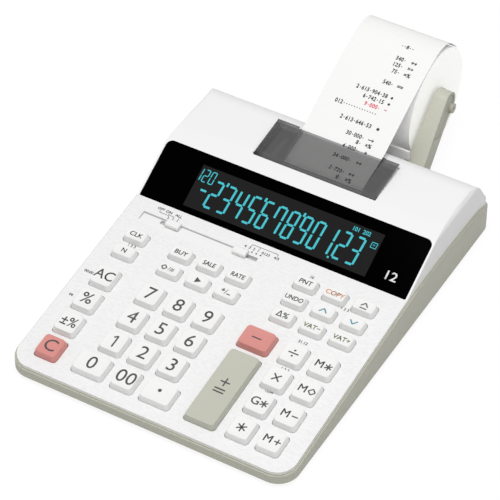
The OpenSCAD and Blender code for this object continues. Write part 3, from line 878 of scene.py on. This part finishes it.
class Printer:
    """Makes flat printed marks: words, bars and small shapes."""

    capital: ClassVar[float] = 1.39
    thin_pen: ClassVar[float] = 0.58 * MM
    pen_share: ClassVar[float] = 0.055

    @staticmethod
    def words(text: str, size: float, spread: float = 1.0, at: Point = (0, 0),
              weight: float = 0.0, bold: float = 0.0) -> bpy.types.Object:
        """Sets a line of type, centred on a point of the XY plane.

        Args:
            text: What it says.
            size: The height of a capital.
            spread: The width as a share of the natural width.
            at: The centre.
            weight: Extra thickness of the strokes, for round figures.
            bold: How far the type is struck again to each side, for letters with sharp corners.

        Returns:
            A flat mesh.
        """
        if bold:
            return Printer.joined("words", [
                Printer.words(text, size, spread, (at[0] + bold * a, at[1] + bold * b), weight)
                for a, b in ((-1, -1), (1, -1), (1, 1), (-1, 1))])
        Bench.clear()
        bpy.ops.object.text_add()
        line = bpy.context.object
        line.data.body, line.data.size = text, size * Printer.capital
        line.data.align_x, line.data.align_y = "CENTER", "CENTER"
        line.data.offset = weight
        line.data.resolution_u = 3
        bpy.ops.object.convert(target="MESH")
        line = bpy.context.object
        line.scale = (spread, 1, 1)
        line.location = (at[0], at[1], 0)
        bpy.ops.object.transform_apply(location=True, rotation=True, scale=True)
        return line

    @staticmethod
    def along(path: Sequence[Point], unit: float = 1.0, at: Point = (0, 0)) -> list[Stroke]:
        """Joins the points of a path with strokes.

        Args:
            path: The points.
            unit: The length that they are counted in, in metres.
            at: Where their origin lies.

        Returns:
            The strokes' ends.
        """
        points = [(at[0] + x * unit, at[1] + y * unit) for x, y in path]
        return [(*start, *end) for start, end in zip(points, points[1:])]

    @staticmethod
    def strokes(lines: Iterable[Stroke], width: float, round_by: float = 0.0) -> bpy.types.Object:
        """Draws straight strokes in the XY plane as one mesh.

        Args:
            lines: The strokes' ends: x and y of one, then of the other.
            width: Their width.
            round_by: The rounding of their ends.

        Returns:
            A flat mesh.
        """
        Bench.clear()
        piece = None
        for x0, y0, x1, y1 in lines:
            middle = Vector(((x0 + x1) / 2, (y0 + y1) / 2, 0))
            length = math.hypot(x1 - x0, y1 - y0)
            bpy.ops.mesh.primitive_plane_add(size=1)
            if piece is None:
                piece = bpy.context.object
                bpy.ops.object.mode_set(mode="EDIT")
            bpy.ops.transform.resize(value=(length, width, 1), center_override=(0, 0, 0))
            if round_by:
                bpy.ops.mesh.bevel(offset=round_by, segments=2, affect="VERTICES")
            turn = math.atan2(y1 - y0, x1 - x0)
            bpy.ops.transform.rotate(value=-turn, orient_axis="Z", center_override=(0, 0, 0))
            bpy.ops.transform.translate(value=middle)
            bpy.ops.mesh.select_all(action="DESELECT")
        Bench.clear()
        assert piece is not None
        return piece

    @staticmethod
    def shape(mark: Mark, size: float, at: Point = (0, 0)) -> bpy.types.Object:
        """Draws one small shape in the XY plane.

        Args:
            mark: Which shape.
            size: Its height.
            at: Its centre.

        Returns:
            A flat mesh.
        """
        half = size / 2
        if mark in (Mark.TRIANGLE, Mark.DOT):
            Bench.clear()
            corners = 3 if mark is Mark.TRIANGLE else 12
            bpy.ops.mesh.primitive_circle_add(vertices=corners, radius=half, fill_type="NGON")
            made = bpy.context.object
            made.rotation_euler.z, made.location = -math.pi / 2, (*at, 0)
            bpy.ops.object.transform_apply(location=True, rotation=True, scale=True)
            return made
        spokes = {Mark.STAR: (90, 30, -30), Mark.PLUS: (0, 90), Mark.CROSS: (45, -45), Mark.BAR: (0,)}
        paths = {
            Mark.DIAMOND: [(-1, 0), (0, 1), (1, 0), (0, -1), (-1, 0)],
            Mark.UP: [(-1, -0.6), (0, 0.6), (1, -0.6)],
            Mark.DOWN: [(-1, 0.6), (0, -0.6), (1, 0.6)],
            Mark.ONE: [(-0.45, 0.55), (0.06, 0.93), (0.06, -1)],
        }
        if mark in paths:
            ends = Printer.along(paths[mark], half, at)
        else:
            tips = [(math.cos(a), math.sin(a)) for a in map(math.radians, spokes[mark])]
            ends = [end for x, y in tips for end in Printer.along([(-x, -y), (x, y)], half, at)]
        return Printer.strokes(ends, Printer.pen(size))

    @staticmethod
    def pen(size: float) -> float:
        """Gives the width of a stroke in a shape of the given size."""
        return Printer.thin_pen + size * Printer.pen_share

    @staticmethod
    def joined(name: str, parts: Sequence[bpy.types.Object]) -> bpy.types.Object:
        """Joins flat marks into one piece.

        Args:
            name: The piece's name.
            parts: The marks.

        Returns:
            The piece.
        """
        Bench.clear()
        for part in parts:
            part.select_set(True)
        bpy.context.view_layer.objects.active = parts[0]
        if len(parts) > 1:
            bpy.ops.object.join()
        piece = bpy.context.object
        piece.name = piece.data.name = name
        return piece

    @staticmethod
    def thicken(piece: bpy.types.Object, thickness: float) -> None:
        """Gives a flat mark a body.

        Args:
            piece: The mark.
            thickness: The body's thickness.
        """
        solid = piece.modifiers.new("body", "SOLIDIFY")
        solid.thickness, solid.offset = thickness, 1.0
        Bench.bake(piece)

    @staticmethod
    def print_on(piece: bpy.types.Object, on: bpy.types.Object, place: Matrix, above: float, lift: float,
                 thickness: float) -> None:
        """Drops a flat mark onto a surface and gives it a body.

        Args:
            piece: The mark, drawn in the XY plane.
            on: The piece that is printed on.
            place: Where the mark's plane lies; it drops along the plane's own -Z.
            above: The height that it drops from, clear of the surface.
            lift: How far above the surface it stays.
            thickness: The thickness of its body.
        """
        ground = on.copy()
        ground.data, ground.parent = on.data.copy(), None
        ground.data.transform(place.inverted())
        bpy.context.scene.collection.objects.link(ground)
        piece.data.transform(Matrix.Translation((0, 0, above)))
        drop = piece.modifiers.new("drop", "SHRINKWRAP")
        drop.target, drop.wrap_method = ground, "PROJECT"
        drop.use_project_z, drop.use_negative_direction, drop.use_positive_direction = True, True, False
        drop.offset = lift
        Bench.bake(piece)
        Printer.thicken(piece, thickness)
        piece.data.transform(place)
        bpy.data.objects.remove(ground)


# ---------------------------------------------------------------- sub-assemblies


@dataclass(frozen=True)
class Case:
    """Both halves of the case with their feet and the battery cover."""

    pieces: tuple[Dressed, ...] = (
        Dressed("upper_case", "case_top", WHITE_CASE, "case", "case_white", 0.245 * MM),
        Dressed("lower_case", "case_base", BEIGE_CASE, "case", "case_beige"),
        Dressed("rubber_feet", "feet", BLACK_RUBBER, "case", "rubber_grey"),
        Dressed("battery_cover", "battery_lid", BEIGE_CASE, "battery_door", "case_beige"))

    def build(self) -> None:
        """Builds and dresses the case."""
        for piece in self.pieces:
            piece.build()


@dataclass
class Inside:
    """What the closed case hides: the display holder, board, key mat and printer frame."""

    finishes: dict[str, Finish] = field(default_factory=lambda: {
        "lcd_module": DARK_PLASTIC, "main_board": GREEN_BOARD, "key_mat": GREY_MAT,
        "printer_frame": GREY_PLASTIC, "platen_roller": BLACK_RUBBER})

    def build(self) -> None:
        """Dresses the hidden nodes."""
        for node, finish in self.finishes.items():
            finish.dress(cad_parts[node])
            log.info("%s dressed in %s", node, finish.name)


@dataclass(frozen=True)
class KeyCap:
    """One key: a hollow cap, drafted, dished on top and flanged below the panel."""

    node: str
    draft: float = 1.15 * MM
    corner: float = 2.6 * MM
    rim: float = 0.32 * MM
    dish: float = 0.25 * MM
    dish_steps: tuple[float, ...] = (0.5, 0.32, 0.18)
    dish_inset: float = 0.085
    skirt: float = 0.12 * MM
    root: float = -2.1 * MM
    flange: float = 1.0 * MM
    flange_thickness: float = 0.8 * MM
    wall: float = 2.0 * MM
    roof: float = 1.6 * MM

    def model(self) -> tuple[bpy.types.Object, Matrix]:
        """Models the key about its own middle, with the panel's surface at height 0.

        Returns:
            The key and its placing.
        """
        low, high = PANEL.span(self.node)
        wide, deep = (high[i] - low[i] - 2 * self.flange + 2 * self.skirt for i in (0, 1))
        top = high.z
        piece = Bench.block(self.node + "_cap", (-wide / 2, -deep / 2, self.root), (wide / 2, deep / 2, 0))
        Bench.edit(piece, "EDGE")
        Bench.pick(piece, lambda e: abs(e.verts[0].co.z - e.verts[1].co.z) > MM, "edges")
        bpy.ops.mesh.bevel(offset=self.corner, segments=6, affect="EDGES")
        bpy.ops.mesh.select_mode(type="FACE")
        Bench.pick(piece, lambda f: f.normal.z > 0.9)
        self.ring(wide, deep, -self.draft, top)
        bpy.ops.mesh.bevel(offset=self.rim, segments=3, affect="EDGES")
        Bench.pick(piece, lambda f: f.normal.z > 0.99 and f.calc_center_median().z > top - 0.01 * MM)
        for share in self.dish_steps:
            self.ring(wide, deep, -self.dish_inset * deep, -self.dish * share)
        Bench.pick(piece, lambda f: f.normal.z < -0.9)
        self.ring(wide, deep, self.flange, 0)
        self.ring(wide, deep, 0, -self.flange_thickness)
        self.ring(wide, deep, -self.wall, 0)
        self.ring(wide, deep, 0, self.flange_thickness - self.root + top - self.roof)
        Bench.merge(piece, 0.002 * MM)
        bpy.ops.mesh.normals_make_consistent(inside=False)
        Bench.smooth(piece, 35)
        centre = (low + high) / 2
        return piece, PANEL.matrix(centre.x, centre.y)

    @staticmethod
    def ring(wide: float, deep: float, by: float, rise: float) -> None:
        """Extrudes the selected face.

        Args:
            wide: The outline's width.
            deep: The outline's depth.
            by: How far the outline moves out.
            rise: How far the face rises.
        """
        bpy.ops.mesh.extrude_region_move(TRANSFORM_OT_translate={"value": (0, 0, rise)})
        if by:
            bpy.ops.transform.resize(value=((wide + 2 * by) / wide, (deep + 2 * by) / deep, 1),
                                     center_override=(0, 0, 0))


@dataclass(frozen=True)
class Legend:
    """What is printed on a key: words and shapes side by side.

    A shape is given by its mark, its height and its place to the right and up, in millimetres.
    """

    words: str = ""
    size: float = 3.4 * MM
    ink: Finish = GREY_INK
    marks: tuple[tuple[Mark, float, float, float], ...] = ()
    spread: float = 1.0
    shift: float = 0.0
    weight: float = 0.0
    bold: float = 0.0

    def model(self, name: str) -> bpy.types.Object:
        """Makes the flat legend.

        Args:
            name: The piece's name.

        Returns:
            The legend.
        """
        parts = [Printer.shape(mark, size * MM, (x * MM, y * MM)) for mark, size, x, y in self.marks]
        if self.words:
            parts.append(Printer.words(
                self.words, self.size, self.spread, (self.shift, 0), self.weight, self.bold))
        return Printer.joined(name, parts)


@dataclass(frozen=True)
class Keyboard:
    """All keys with their legends."""

    digit: float = 9.6 * MM
    letter: float = 5.4 * MM
    beside: float = -2.6 * MM
    heavy: float = 0.03 * MM
    strike: float = 0.075 * MM
    printed: float = 0.03 * MM
    above: float = 6.0 * MM
    words: ClassVar[dict[str, str]] = {
        "time": "CLK", "it": "N", "cost": "BUY", "sell": "SALE", "margin": "RATE", "print": "PNT",
        "correct": "UNDO"}
    memory: ClassVar[dict[str, tuple[Mark, float, float]]] = {
        "total": (Mark.STAR, 5.2, 3.4), "subtotal": (Mark.DIAMOND, 4.6, 3.6),
        "minus": (Mark.BAR, 4.2, 3.8), "plus": (Mark.PLUS, 4.4, 3.8)}
    coloured: ClassVar[dict[str, tuple[Finish, str]]] = {
        "clear": (RED_KEY, "key_red"), "minus": (RED_KEY, "key_red"), "plus_equals": (PUTTY_KEY, "key_putty")}

    def legends(self) -> dict[str, Legend]:
        """Lists what each key says.

        Returns:
            The legends, by the key's name.
        """
        bold = self.strike
        found = {figure: Legend(figure, self.digit, weight=self.heavy)
                 for figure in ("0", "2", "3", "5", "6", "7", "8", "9", "00")}
        found |= {key: Legend(text, spread=0.86 if len(text) > 3 else 1.0, bold=bold)
                  for key, text in self.words.items()}
        found |= {"memory_" + key: Legend("M", self.letter, bold=bold, marks=((mark, size, x, 0),),
                                          shift=self.beside)
                  for key, (mark, size, x) in self.memory.items()}
        return found | {
            "1": Legend(marks=((Mark.ONE, 9.1, 0.4, 0),)),
            "4": Legend("4", self.digit),
            "point": Legend(marks=((Mark.DOT, 2.5, 0, 1.2),)),
            "reprint": Legend("COPY", ink=ORANGE_INK, bold=bold),
            "tax_minus": Legend("VAT−", ink=OLIVE_INK, bold=bold),
            "tax_plus": Legend("VAT+", ink=OLIVE_INK, bold=bold),
            "delta": Legend("Δ%", 4.3 * MM, bold=bold),
            "subtotal": Legend("/#", marks=((Mark.DIAMOND, 3.6, -3.4, 0),), shift=1.5 * MM),
            "backspace": Legend(marks=((Mark.TRIANGLE, 5.2, 0, 0),)),
            "sign": Legend("/", 4.2 * MM, marks=((Mark.PLUS, 2.6, -2.2, 0.8), (Mark.BAR, 2.6, 2.2, -1.2))),
            "up": Legend(ink=TEAL_INK, marks=((Mark.UP, 5.0, 0, 0),)),
            "down": Legend(ink=TEAL_INK, marks=((Mark.DOWN, 5.0, 0, 0),)),
            "feed": Legend(marks=((Mark.UP, 4.6, 0, 0.8), (Mark.BAR, 4.6, 0, -2.2))),
            "clear_all": Legend("AC", 7.4 * MM, spread=0.94, bold=bold),
            "percent": Legend("%", 8.4 * MM, weight=0.1 * MM),
            "markup": Legend("±%", 7.2 * MM, spread=0.9, bold=bold),
            "clear": Legend("C", 9.0 * MM, weight=self.heavy),
            "divide": Legend(marks=((Mark.BAR, 6.8, 0, 0), (Mark.DOT, 1.4, 0, 2.2), (Mark.DOT, 1.4, 0, -2.2))),
            "times": Legend(marks=((Mark.CROSS, 7.0, 0, 0),)),
            "minus": Legend(marks=((Mark.BAR, 6.5, -0.2, 0),)),
            "plus_equals": Legend(marks=(
                (Mark.PLUS, 6.4, 0, 3.6), (Mark.BAR, 7.2, -0.4, -2.2), (Mark.BAR, 7.2, -0.4, -4.5))),
            "grand_total": Legend(
                "G", 6.0 * MM, bold=bold, marks=((Mark.STAR, 5.4, 3.2, 0),), shift=self.beside),
            "total": Legend(marks=((Mark.STAR, 6.6, 0, 0),))}

    def build(self) -> None:
        """Builds every key and its legend."""
        legends = self.legends()
        nodes = [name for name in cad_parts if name.startswith("key_") and name != "key_mat"]
        for node in nodes:
            key = node.removeprefix("key_")
            body = node + "_body"
            cap, place = KeyCap(node).model()
            finish, slot = self.coloured.get(key, (WHITE_KEY, "key_white"))
            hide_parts(node)
            legend = legends[key].model(node + "_legend")
            Bench.hand_over(cap, finish, body, slot, place)
            Printer.print_on(legend, cap, place, self.above, self.printed / 2, self.printed)
            Bench.hand_over(legend, legends[key].ink, body, slot)


@dataclass(frozen=True)
class Figures:
    """A row of seven-bar figures; a figure's place is its right edge at its foot."""

    number: str
    first: float
    step: float
    low: float
    tall: float
    wide: float
    stroke: float
    lean: ClassVar[float] = 0.057
    bars: ClassVar[dict[str, str]] = {
        "0": "abcdef", "1": "bc", "2": "abged", "3": "abgcd", "4": "fgbc", "5": "afgcd",
        "6": "afgecd", "7": "fabc", "8": "abcdefg", "9": "abcdfg"}

    def figure(self, sign: str, x: float) -> list[Stroke]:
        """Gives the strokes of one figure.

        Args:
            sign: The figure.
            x: Its place.

        Returns:
            The strokes' ends.
        """
        half, gap = self.stroke / 2, self.stroke * 0.36
        left, right = x - self.wide + half, x - half
        bottom, top = self.low + half, self.low + self.tall - half
        middle = (bottom + top) / 2
        upper, lower = (middle + gap, top - gap / 2), (bottom + gap / 2, middle - gap)
        ends = {
            "a": (left + gap, top, right - gap, top), "d": (left + gap, bottom, right - gap, bottom),
            "g": (left + gap, middle, right - gap, middle),
            "b": (right, upper[0], right, upper[1]), "c": (right, lower[0], right, lower[1]),
            "f": (left, upper[0], left, upper[1]), "e": (left, lower[0], left, lower[1])}
        return [(a + self.lean * (b - self.low), b, c + self.lean * (d - self.low), d)
                for a, b, c, d in (ends[bar] for bar in self.bars[sign])]

    def strokes(self) -> list[Stroke]:
        """Gives the strokes of all figures."""
        return [stroke for i, sign in enumerate(self.number)
                for stroke in self.figure(sign, self.first + i * self.step)]


@dataclass(frozen=True)
class Display:
    """The window, the lit segments behind it and a plain number printed on it.

    Heights are counted up the window from its lower edge. Words are a text, its size, spread, place across,
    height and extra weight, in millimetres.
    """

    window: Dressed = Dressed("display_window", "window", BLACK_WINDOW, "case", "window_black", 0.25 * MM)
    big: Figures = Figures("234567890123", -46.2 * MM, 9.17 * MM, 7.5 * MM, 19.6 * MM, 6.8 * MM, 1.45 * MM)
    small: Figures = Figures("120", -62.9 * MM, 4.7 * MM, 22.6 * MM, 9.0 * MM, 3.6 * MM, 0.7 * MM)
    rounding: float = 0.435 * MM
    small_pen: float = 0.65 * MM
    small_rounding: float = 0.15 * MM
    minus: Stroke = (-58.9 * MM, 17.6 * MM, -54.6 * MM, 17.6 * MM)
    separated: tuple[int, ...] = (0, 3, 6)
    separator: Stroke = (2.5 * MM, 25.4 * MM, 2.8 * MM, 28.2 * MM)
    point: Stroke = (36.9 * MM, 7.2 * MM, 38.3 * MM, 7.2 * MM)
    point_pen: float = 1.4 * MM
    point_rounding: float = 0.5 * MM
    box: tuple[Point, ...] = ((59.3, 22.9), (63.0, 22.9), (63.2, 26.5), (59.5, 26.5), (59.3, 22.9))
    box_pen: float = 0.45 * MM
    lit_words: tuple[tuple[str, float, float, float, float, float], ...] = (
        ("=", 2.2, 1.0, 61.2, 24.7, 0.0), ("101", 2.9, 0.9, 46.2, 30.3, 0.08),
        ("202", 2.9, 0.9, 53.6, 30.3, 0.08))
    printed_word: tuple[str, float, float, float, float, float] = ("12", 6.0, 1.14, 79.6, 10.2, 0.1)
    thickness: float = 0.02 * MM
    lift: float = 0.12 * MM

    @staticmethod
    def word(text: str, size: float, spread: float, x: float, s: float, weight: float) -> bpy.types.Object:
        """Sets one of the words, given as in the class's own list."""
        return Printer.words(text, size * MM, spread, (x * MM, s * MM), weight * MM)

    def lay_down(self, piece: bpy.types.Object, finish: Finish, slot: str) -> None:
        """Gives flat marks a body and lays them on the window.

        Args:
            piece: The marks.
            finish: Their finish.
            slot: The record's material slot.
        """
        Printer.thicken(piece, self.thickness)
        Bench.hand_over(piece, finish, "case", slot, WINDOW.matrix(n=self.lift))

    def build(self) -> None:
        """Builds the window and its segments."""
        self.window.build()
        x0, s0, x1, s1 = self.separator
        edges = [self.big.first + i * self.big.step for i in self.separated]
        big = [*self.big.strokes(), self.minus, *((edge + x0, s0, edge + x1, s1) for edge in edges)]
        lit = [Printer.strokes(big, self.big.stroke, self.rounding),
               Printer.strokes(self.small.strokes(), self.small_pen, self.small_rounding),
               Printer.strokes([self.point], self.point_pen, self.point_rounding),
               Printer.strokes(Printer.along(self.box, MM), self.box_pen)]
        lit += [self.word(*word) for word in self.lit_words]
        self.lay_down(Printer.joined("display_digits", lit), CYAN_LIGHT, "lcd")
        printed = Printer.joined("display_mark", [self.word(*self.printed_word)])
        self.lay_down(printed, SILVER_INK, "window_black")


@dataclass(frozen=True)
class Slide:
    """A slide switch with the shutter that closes its slot from below."""

    node: str
    body: str
    left: float
    right: float
    half_depth: float = 2.4 * MM
    under: tuple[float, float] = (-2.17 * MM, -2.05 * MM)
    narrowing: float = 0.8
    waist: float = 0.2 * MM
    edge: float = 0.4 * MM
    segments: int = 3

    def narrow(self, knob: bpy.types.Object, middle: float) -> None:
        """Draws the part of the knob that stands above the panel in towards its middle.

        Args:
            knob: The knob.
            middle: Where its middle lies across the case.
        """
        back = PANEL.matrix().inverted()
        for vertex in knob.data.vertices:
            if (back @ vertex.co).z > self.waist:
                vertex.co.x = middle + (vertex.co.x - middle) * self.narrowing

    def build(self) -> None:
        """Builds the knob and its shutter."""
        low, high = PANEL.span(self.node)
        centre = (low + high) / 2
        knob = Bench.refined(self.node, self.node + "_knob", self.edge, self.segments)
        self.narrow(knob, centre.x)
        Bench.hand_over(knob, WHITE_KEY, self.body, "key_white")
        shutter = Bench.block(self.node + "_shutter", (self.left, -self.half_depth, self.under[0]),
                              (self.right, self.half_depth, self.under[1]))
        Bench.hand_over(shutter, SLOT_GREY, self.body, "key_white", PANEL.matrix(centre.x, centre.y))


@dataclass(frozen=True)
class Switches:
    """The two slide switches."""

    slides: tuple[Slide, ...] = (
        Slide("slide_print", "print_switch", -9.9 * MM, 2.3 * MM),
        Slide("slide_rounding", "rounding_switch", -2.3 * MM, 12.4 * MM))

    def build(self) -> None:
        """Builds the switches."""
        for slide in self.slides:
            slide.build()


@dataclass(frozen=True)
class Row:
    """One printed row of the strip: its depth in the case, a number that ends at x, and a sign.

    Its places are counted in millimetres.
    """

    y: float
    number: str
    ends: float
    sign: str = ""
    sign_x: float = 0.0


@dataclass(frozen=True)
class Receipt:
    """What is printed on the strip."""

    pitch: float = 1.87 * MM
    tall: float = 2.9 * MM
    dot: float = 0.7 * MM
    diamond: float = 1.5 * MM
    diamond_reach: float = 0.55 * MM
    star: float = 2.2 * MM
    weight: float = 0.15 * MM
    spread: float = 0.82
    sign_spread: float = 0.9
    middle: float = 5.5 * MM
    high_over: float = 200.0 * MM
    above: float = 3.0 * MM
    lift: float = 0.02 * MM
    thickness: float = 0.01 * MM
    red_row: int = 7
    rows: tuple[Row, ...] = (
        Row(301.8, "··8··", 18.8), Row(292.8, "340·", 17.9, "++", 23.4),
        Row(288.5, "125·", 17.9, "×÷", 23.1), Row(284.0, "75·", 17.9, "=%", 23.0),
        Row(275.6, "540·", 17.9, "==", 22.7),
        Row(267.6, "2·615·904·38", 18.3, "◇", 21.3), Row(263.4, "6·742·15", 17.9, "◇", 21.4),
        Row(259.2, "9·000·", 17.4, "−", 21.3), Row(255.2, "012·············", 17.2),
        Row(247.2, "2·613·646·53", 17.9, "*", 22.6), Row(239.3, "30·000·", 17.2, "−+", 21.9),
        Row(235.6, "8·", 17.0, "×%", 21.9), Row(230.7, "4·000·", 17.6, "+", 22.8),
        Row(222.2, "34·000·", 17.3, "++", 22.6), Row(212.7, "2·720·", 17.8, "++", 22.6),
        Row(208.1, "8·", 17.8, "×%", 22.6))

    def flat(self, row: Row) -> list[bpy.types.Object]:
        """Sets one row as flat type, with its middle at height 0.

        Args:
            row: The row.

        Returns:
            The row's marks.
        """
        parts: list[bpy.types.Object] = []
        dots: list[Stroke] = []
        half = self.dot / 2
        for i, letter in enumerate(row.number):
            x = row.ends * MM - (len(row.number) - i - 0.5) * self.pitch
            if letter == "·":
                dots.append((x - half, 0, x + half, 0))
            else:
                parts.append(Printer.words(letter, self.tall, self.spread, (x, 0), self.weight))
        if dots:
            parts.append(Printer.strokes(dots, self.dot, self.dot * 0.25))
        at = (row.sign_x * MM, 0.0)
        if row.sign == "◇":
            ends = Printer.along([(-1, -1), (1, 1)], self.diamond_reach, at)
            parts.append(Printer.strokes(ends, self.diamond))
        elif row.sign == "*":
            parts.append(Printer.shape(Mark.STAR, self.star, at))
        elif row.sign:
            parts.append(Printer.words(row.sign, self.tall, self.sign_spread, at, self.weight))
        return parts

    def place_on(self, strip: bpy.types.Object, row: Row) -> Matrix:
        """Finds the placing of a row on the strip.

        Args:
            strip: The strip.
            row: The row.

        Returns:
            The placing, with x across, y along the strip and z out of it.
        """
        over = Vector((self.middle, row.y * MM - MIDDLE, self.high_over))
        found, point, normal, _ = strip.ray_cast(over, Vector((0, 0, -1)))
        assert found
        across = Vector((1, 0, 0))
        along = normal.cross(across).normalized()
        turn = Matrix((across, along, normal)).transposed().to_4x4()
        return Matrix.Translation((0, point.y, point.z)) @ turn

    def build(self, strip: bpy.types.Object) -> None:
        """Prints every row.

        Args:
            strip: The strip that is printed on.
        """
        black: list[bpy.types.Object] = []
        red: list[bpy.types.Object] = []
        bpy.context.view_layer.update()
        for i, row in enumerate(self.rows):
            piece = Printer.joined(f"row_{i}", self.flat(row))
            place = self.place_on(strip, row)
            Printer.print_on(piece, strip, place, self.above, self.lift, self.thickness)
            (red if i == self.red_row else black).append(piece)
        Bench.hand_over(Printer.joined("strip_figures", black), BLACK_INK, "case", "paper")
        Bench.hand_over(Printer.joined("strip_red_figures", red), RED_INK, "case", "paper")


@dataclass(frozen=True)
class PaperPath:
    """The printer cover, the roll, the printed strip and the arms that hold the roll."""

    cover: Dressed = Dressed("printer_cover", "cover", SMOKED_COVER, "printer_lid", "cover_smoked", 0.3 * MM)
    roll: Dressed = Dressed("paper_roll", "roll", ROLL_PAPER, "roll", "paper", 0.15 * MM)
    strip: Dressed = Dressed("paper_strip", "strip", STRIP_PAPER, "case", "paper", 0.0)
    arm_edge: float = 0.5 * MM

    def build(self) -> None:
        """Builds the printer's visible side."""
        self.cover.build()
        self.roll.build()
        Receipt().build(self.strip.build())
        for side in ("right", "left"):
            arm = Dressed(f"{side}_paper_arm", f"{side}_arm_shell", BEIGE_CASE, f"{side}_arm", "case_beige",
                          self.arm_edge, 3)
            arm.build()


@dataclass(frozen=True)
class PanelPrint:
    """Small printed marks on the keyboard panel: scales of the switches and plain numbers.

    Their places are counted in millimetres across the panel and up it.
    """

    pen: float = 0.38 * MM
    tall: float = 2.05 * MM
    dot: float = 1.2 * MM
    strike: float = 0.06 * MM
    thickness: float = 0.01 * MM
    lift: float = 0.015 * MM
    words: tuple[tuple[str, float, float], ...] = (
        ("OFF", -76.0, 146.4), ("ON", -70.1, 146.2), ("ALL", -63.0, 146.1),
        ("4", -13.4, 143.9), ("3", -10.3, 143.9), ("2", -7.3, 143.9), ("1", -4.3, 143.9),
        ("0123", 1.2, 143.6), ("4/5", 8.8, 143.7), ("1 2 3", -76.6, 111.7),
        ("00:00", -89.4, 81.7), ("99", -89.4, 61.0), ("31.12", 55.6, 93.3), ("1 2 3", 56.1, 70.4),
        ("1234", 55.8, 51.7), ("1 2 3", 65.7, 127.4), ("10", 35.6, 140.4))
    dots: tuple[Point, ...] = (
        (-68.0, 141.4), (-64.9, 141.4), (-61.8, 141.4), (-13.4, 141.3), (-10.4, 141.3), (-7.3, 141.3),
        (-4.2, 141.3), (-1.2, 141.3))
    lines: tuple[tuple[Point, ...], ...] = (
        ((-75.9, 145.0), (-75.6, 143.7), (-69.0, 143.6), (-68.2, 142.0)),
        ((-69.6, 144.9), (-69.4, 144.4), (-65.4, 144.0), (-65.0, 142.0)),
        ((-62.0, 145.0), (-61.8, 142.0)),
        ((-10.2, 145.2), (-9.8, 146.9), (8.3, 146.9), (8.7, 145.4)),
        ((-4.2, 145.2), (-4.2, 146.9)))

    def build(self) -> None:
        """Prints the marks."""
        parts = [Printer.words(text, self.tall, at=(x * MM, s * MM), bold=self.strike)
                 for text, x, s in self.words]
        parts += [Printer.shape(Mark.DOT, self.dot, (x * MM, s * MM)) for x, s in self.dots]
        ends = [end for line in self.lines for end in Printer.along(line, MM)]
        parts.append(Printer.strokes(ends, self.pen))
        piece = Printer.joined("panel_marks", parts)
        Printer.thicken(piece, self.thickness)
        Bench.hand_over(piece, GREY_INK, "case", "case_white", PANEL.matrix(n=self.lift))


# ---------------------------------------------------------------- studio


@dataclass(frozen=True)
class Studio:
    """Floor, light and camera."""

    azimuth: float = 30.10
    elevation: float = 43.49
    eye: tuple[float, float, float] = (0.59404, -0.89946 - MIDDLE, 1.16933)
    lens: float = 193.0
    world_light: float = 0.5
    floor_side: float = 8.0
    floor_below: float = 0.2 * MM
    floor_grey: float = 0.7
    floor_glow: float = 1.05
    floor_blend: float = 0.86
    lamp_at: tuple[float, float, float] = (0.25, -0.4, 1.9)
    lamp_aim: tuple[float, float, float] = (0.0, 0.0, 0.03)
    lamp_side: float = 1.4
    lamp_power: float = 32.0

    def floor(self) -> None:
        """Lays a white floor that keeps the object's soft shadow."""
        Bench.clear()
        bpy.ops.mesh.primitive_plane_add(size=self.floor_side, location=(0, 0, -self.floor_below))
        plane = bpy.context.object
        plane.name = "floor"
        shader = Shader("white_floor")
        grey = self.floor_grey
        shader.set(Base_Color=(grey, grey, grey, 1.0), Roughness=0.9, Specular_IOR_Level=0.0)
        glow = shader.node("ShaderNodeEmission", None, {"Color": (1, 1, 1, 1), "Strength": self.floor_glow})
        path = shader.node("ShaderNodeLightPath")
        seen = Value(shader, path.outputs["Is Camera Ray"])
        mixed = shader.node("ShaderNodeMixShader", None, {
            0: seen * self.floor_blend, 1: shader.surface.outputs[0], 2: glow.outputs[0]})
        shader.feed(shader.output.inputs["Surface"], mixed.outputs[0])
        plane.data.materials.append(shader.material)

    def world(self) -> None:
        """Lights the scene evenly, with a white background for the camera and through clear pieces."""
        world = bpy.data.worlds.new("studio")
        bpy.context.scene.world = world
        world.use_nodes = True
        graph = Graph(world.node_tree)
        path = graph.node("ShaderNodeLightPath")
        camera, through = (Value(graph, path.outputs[f"Is {ray} Ray"]) for ray in ("Camera", "Transmission"))
        strength = graph.node("ShaderNodeMapRange", None, {
            "Value": camera.math("MAXIMUM", through), "To Min": self.world_light, "To Max": 1.0})
        back = graph.node("ShaderNodeBackground", None, {
            "Color": (1, 1, 1, 1), "Strength": strength.outputs[0]})
        graph.node("ShaderNodeOutputWorld", None, {"Surface": back.outputs[0]})

    def lamp(self) -> None:
        """Hangs a square lamp that points at the object."""
        Bench.clear()
        bpy.ops.object.light_add(type="AREA", location=self.lamp_at)
        lamp = bpy.context.object
        lamp.name = "key_lamp"
        lamp.data.size, lamp.data.energy = self.lamp_side, self.lamp_power
        aim = Vector(self.lamp_aim) - Vector(self.lamp_at)
        lamp.rotation_euler = aim.to_track_quat("-Z", "Y").to_euler()

    def camera(self) -> None:
        """Sets up the camera."""
        Bench.clear()
        bpy.ops.object.camera_add(location=self.eye, rotation=(
            math.radians(90 - self.elevation), 0, math.radians(self.azimuth)))
        camera = bpy.context.object
        camera.data.lens, camera.data.sensor_width = self.lens, 36
        camera.data.clip_start, camera.data.clip_end = 0.05, 30
        bpy.context.scene.camera = camera

    def build(self) -> None:
        """Sets up the whole studio."""
        self.camera()
        self.world()
        self.floor()
        self.lamp()
        bpy.context.scene.view_settings.view_transform = "Standard"
        log.info("studio ready")


def main() -> None:
    """Builds everything in order."""
    logging.basicConfig(level=logging.INFO, format="%(message)s")
    Studio().build()
    for part in (Case(), Inside(), Display(), Switches(), Keyboard(), PanelPrint(), PaperPath()):
        part.build()
        log.info("%s done", type(part).__name__)
    Bench.clear()


if __name__ == "__main__":
    main()
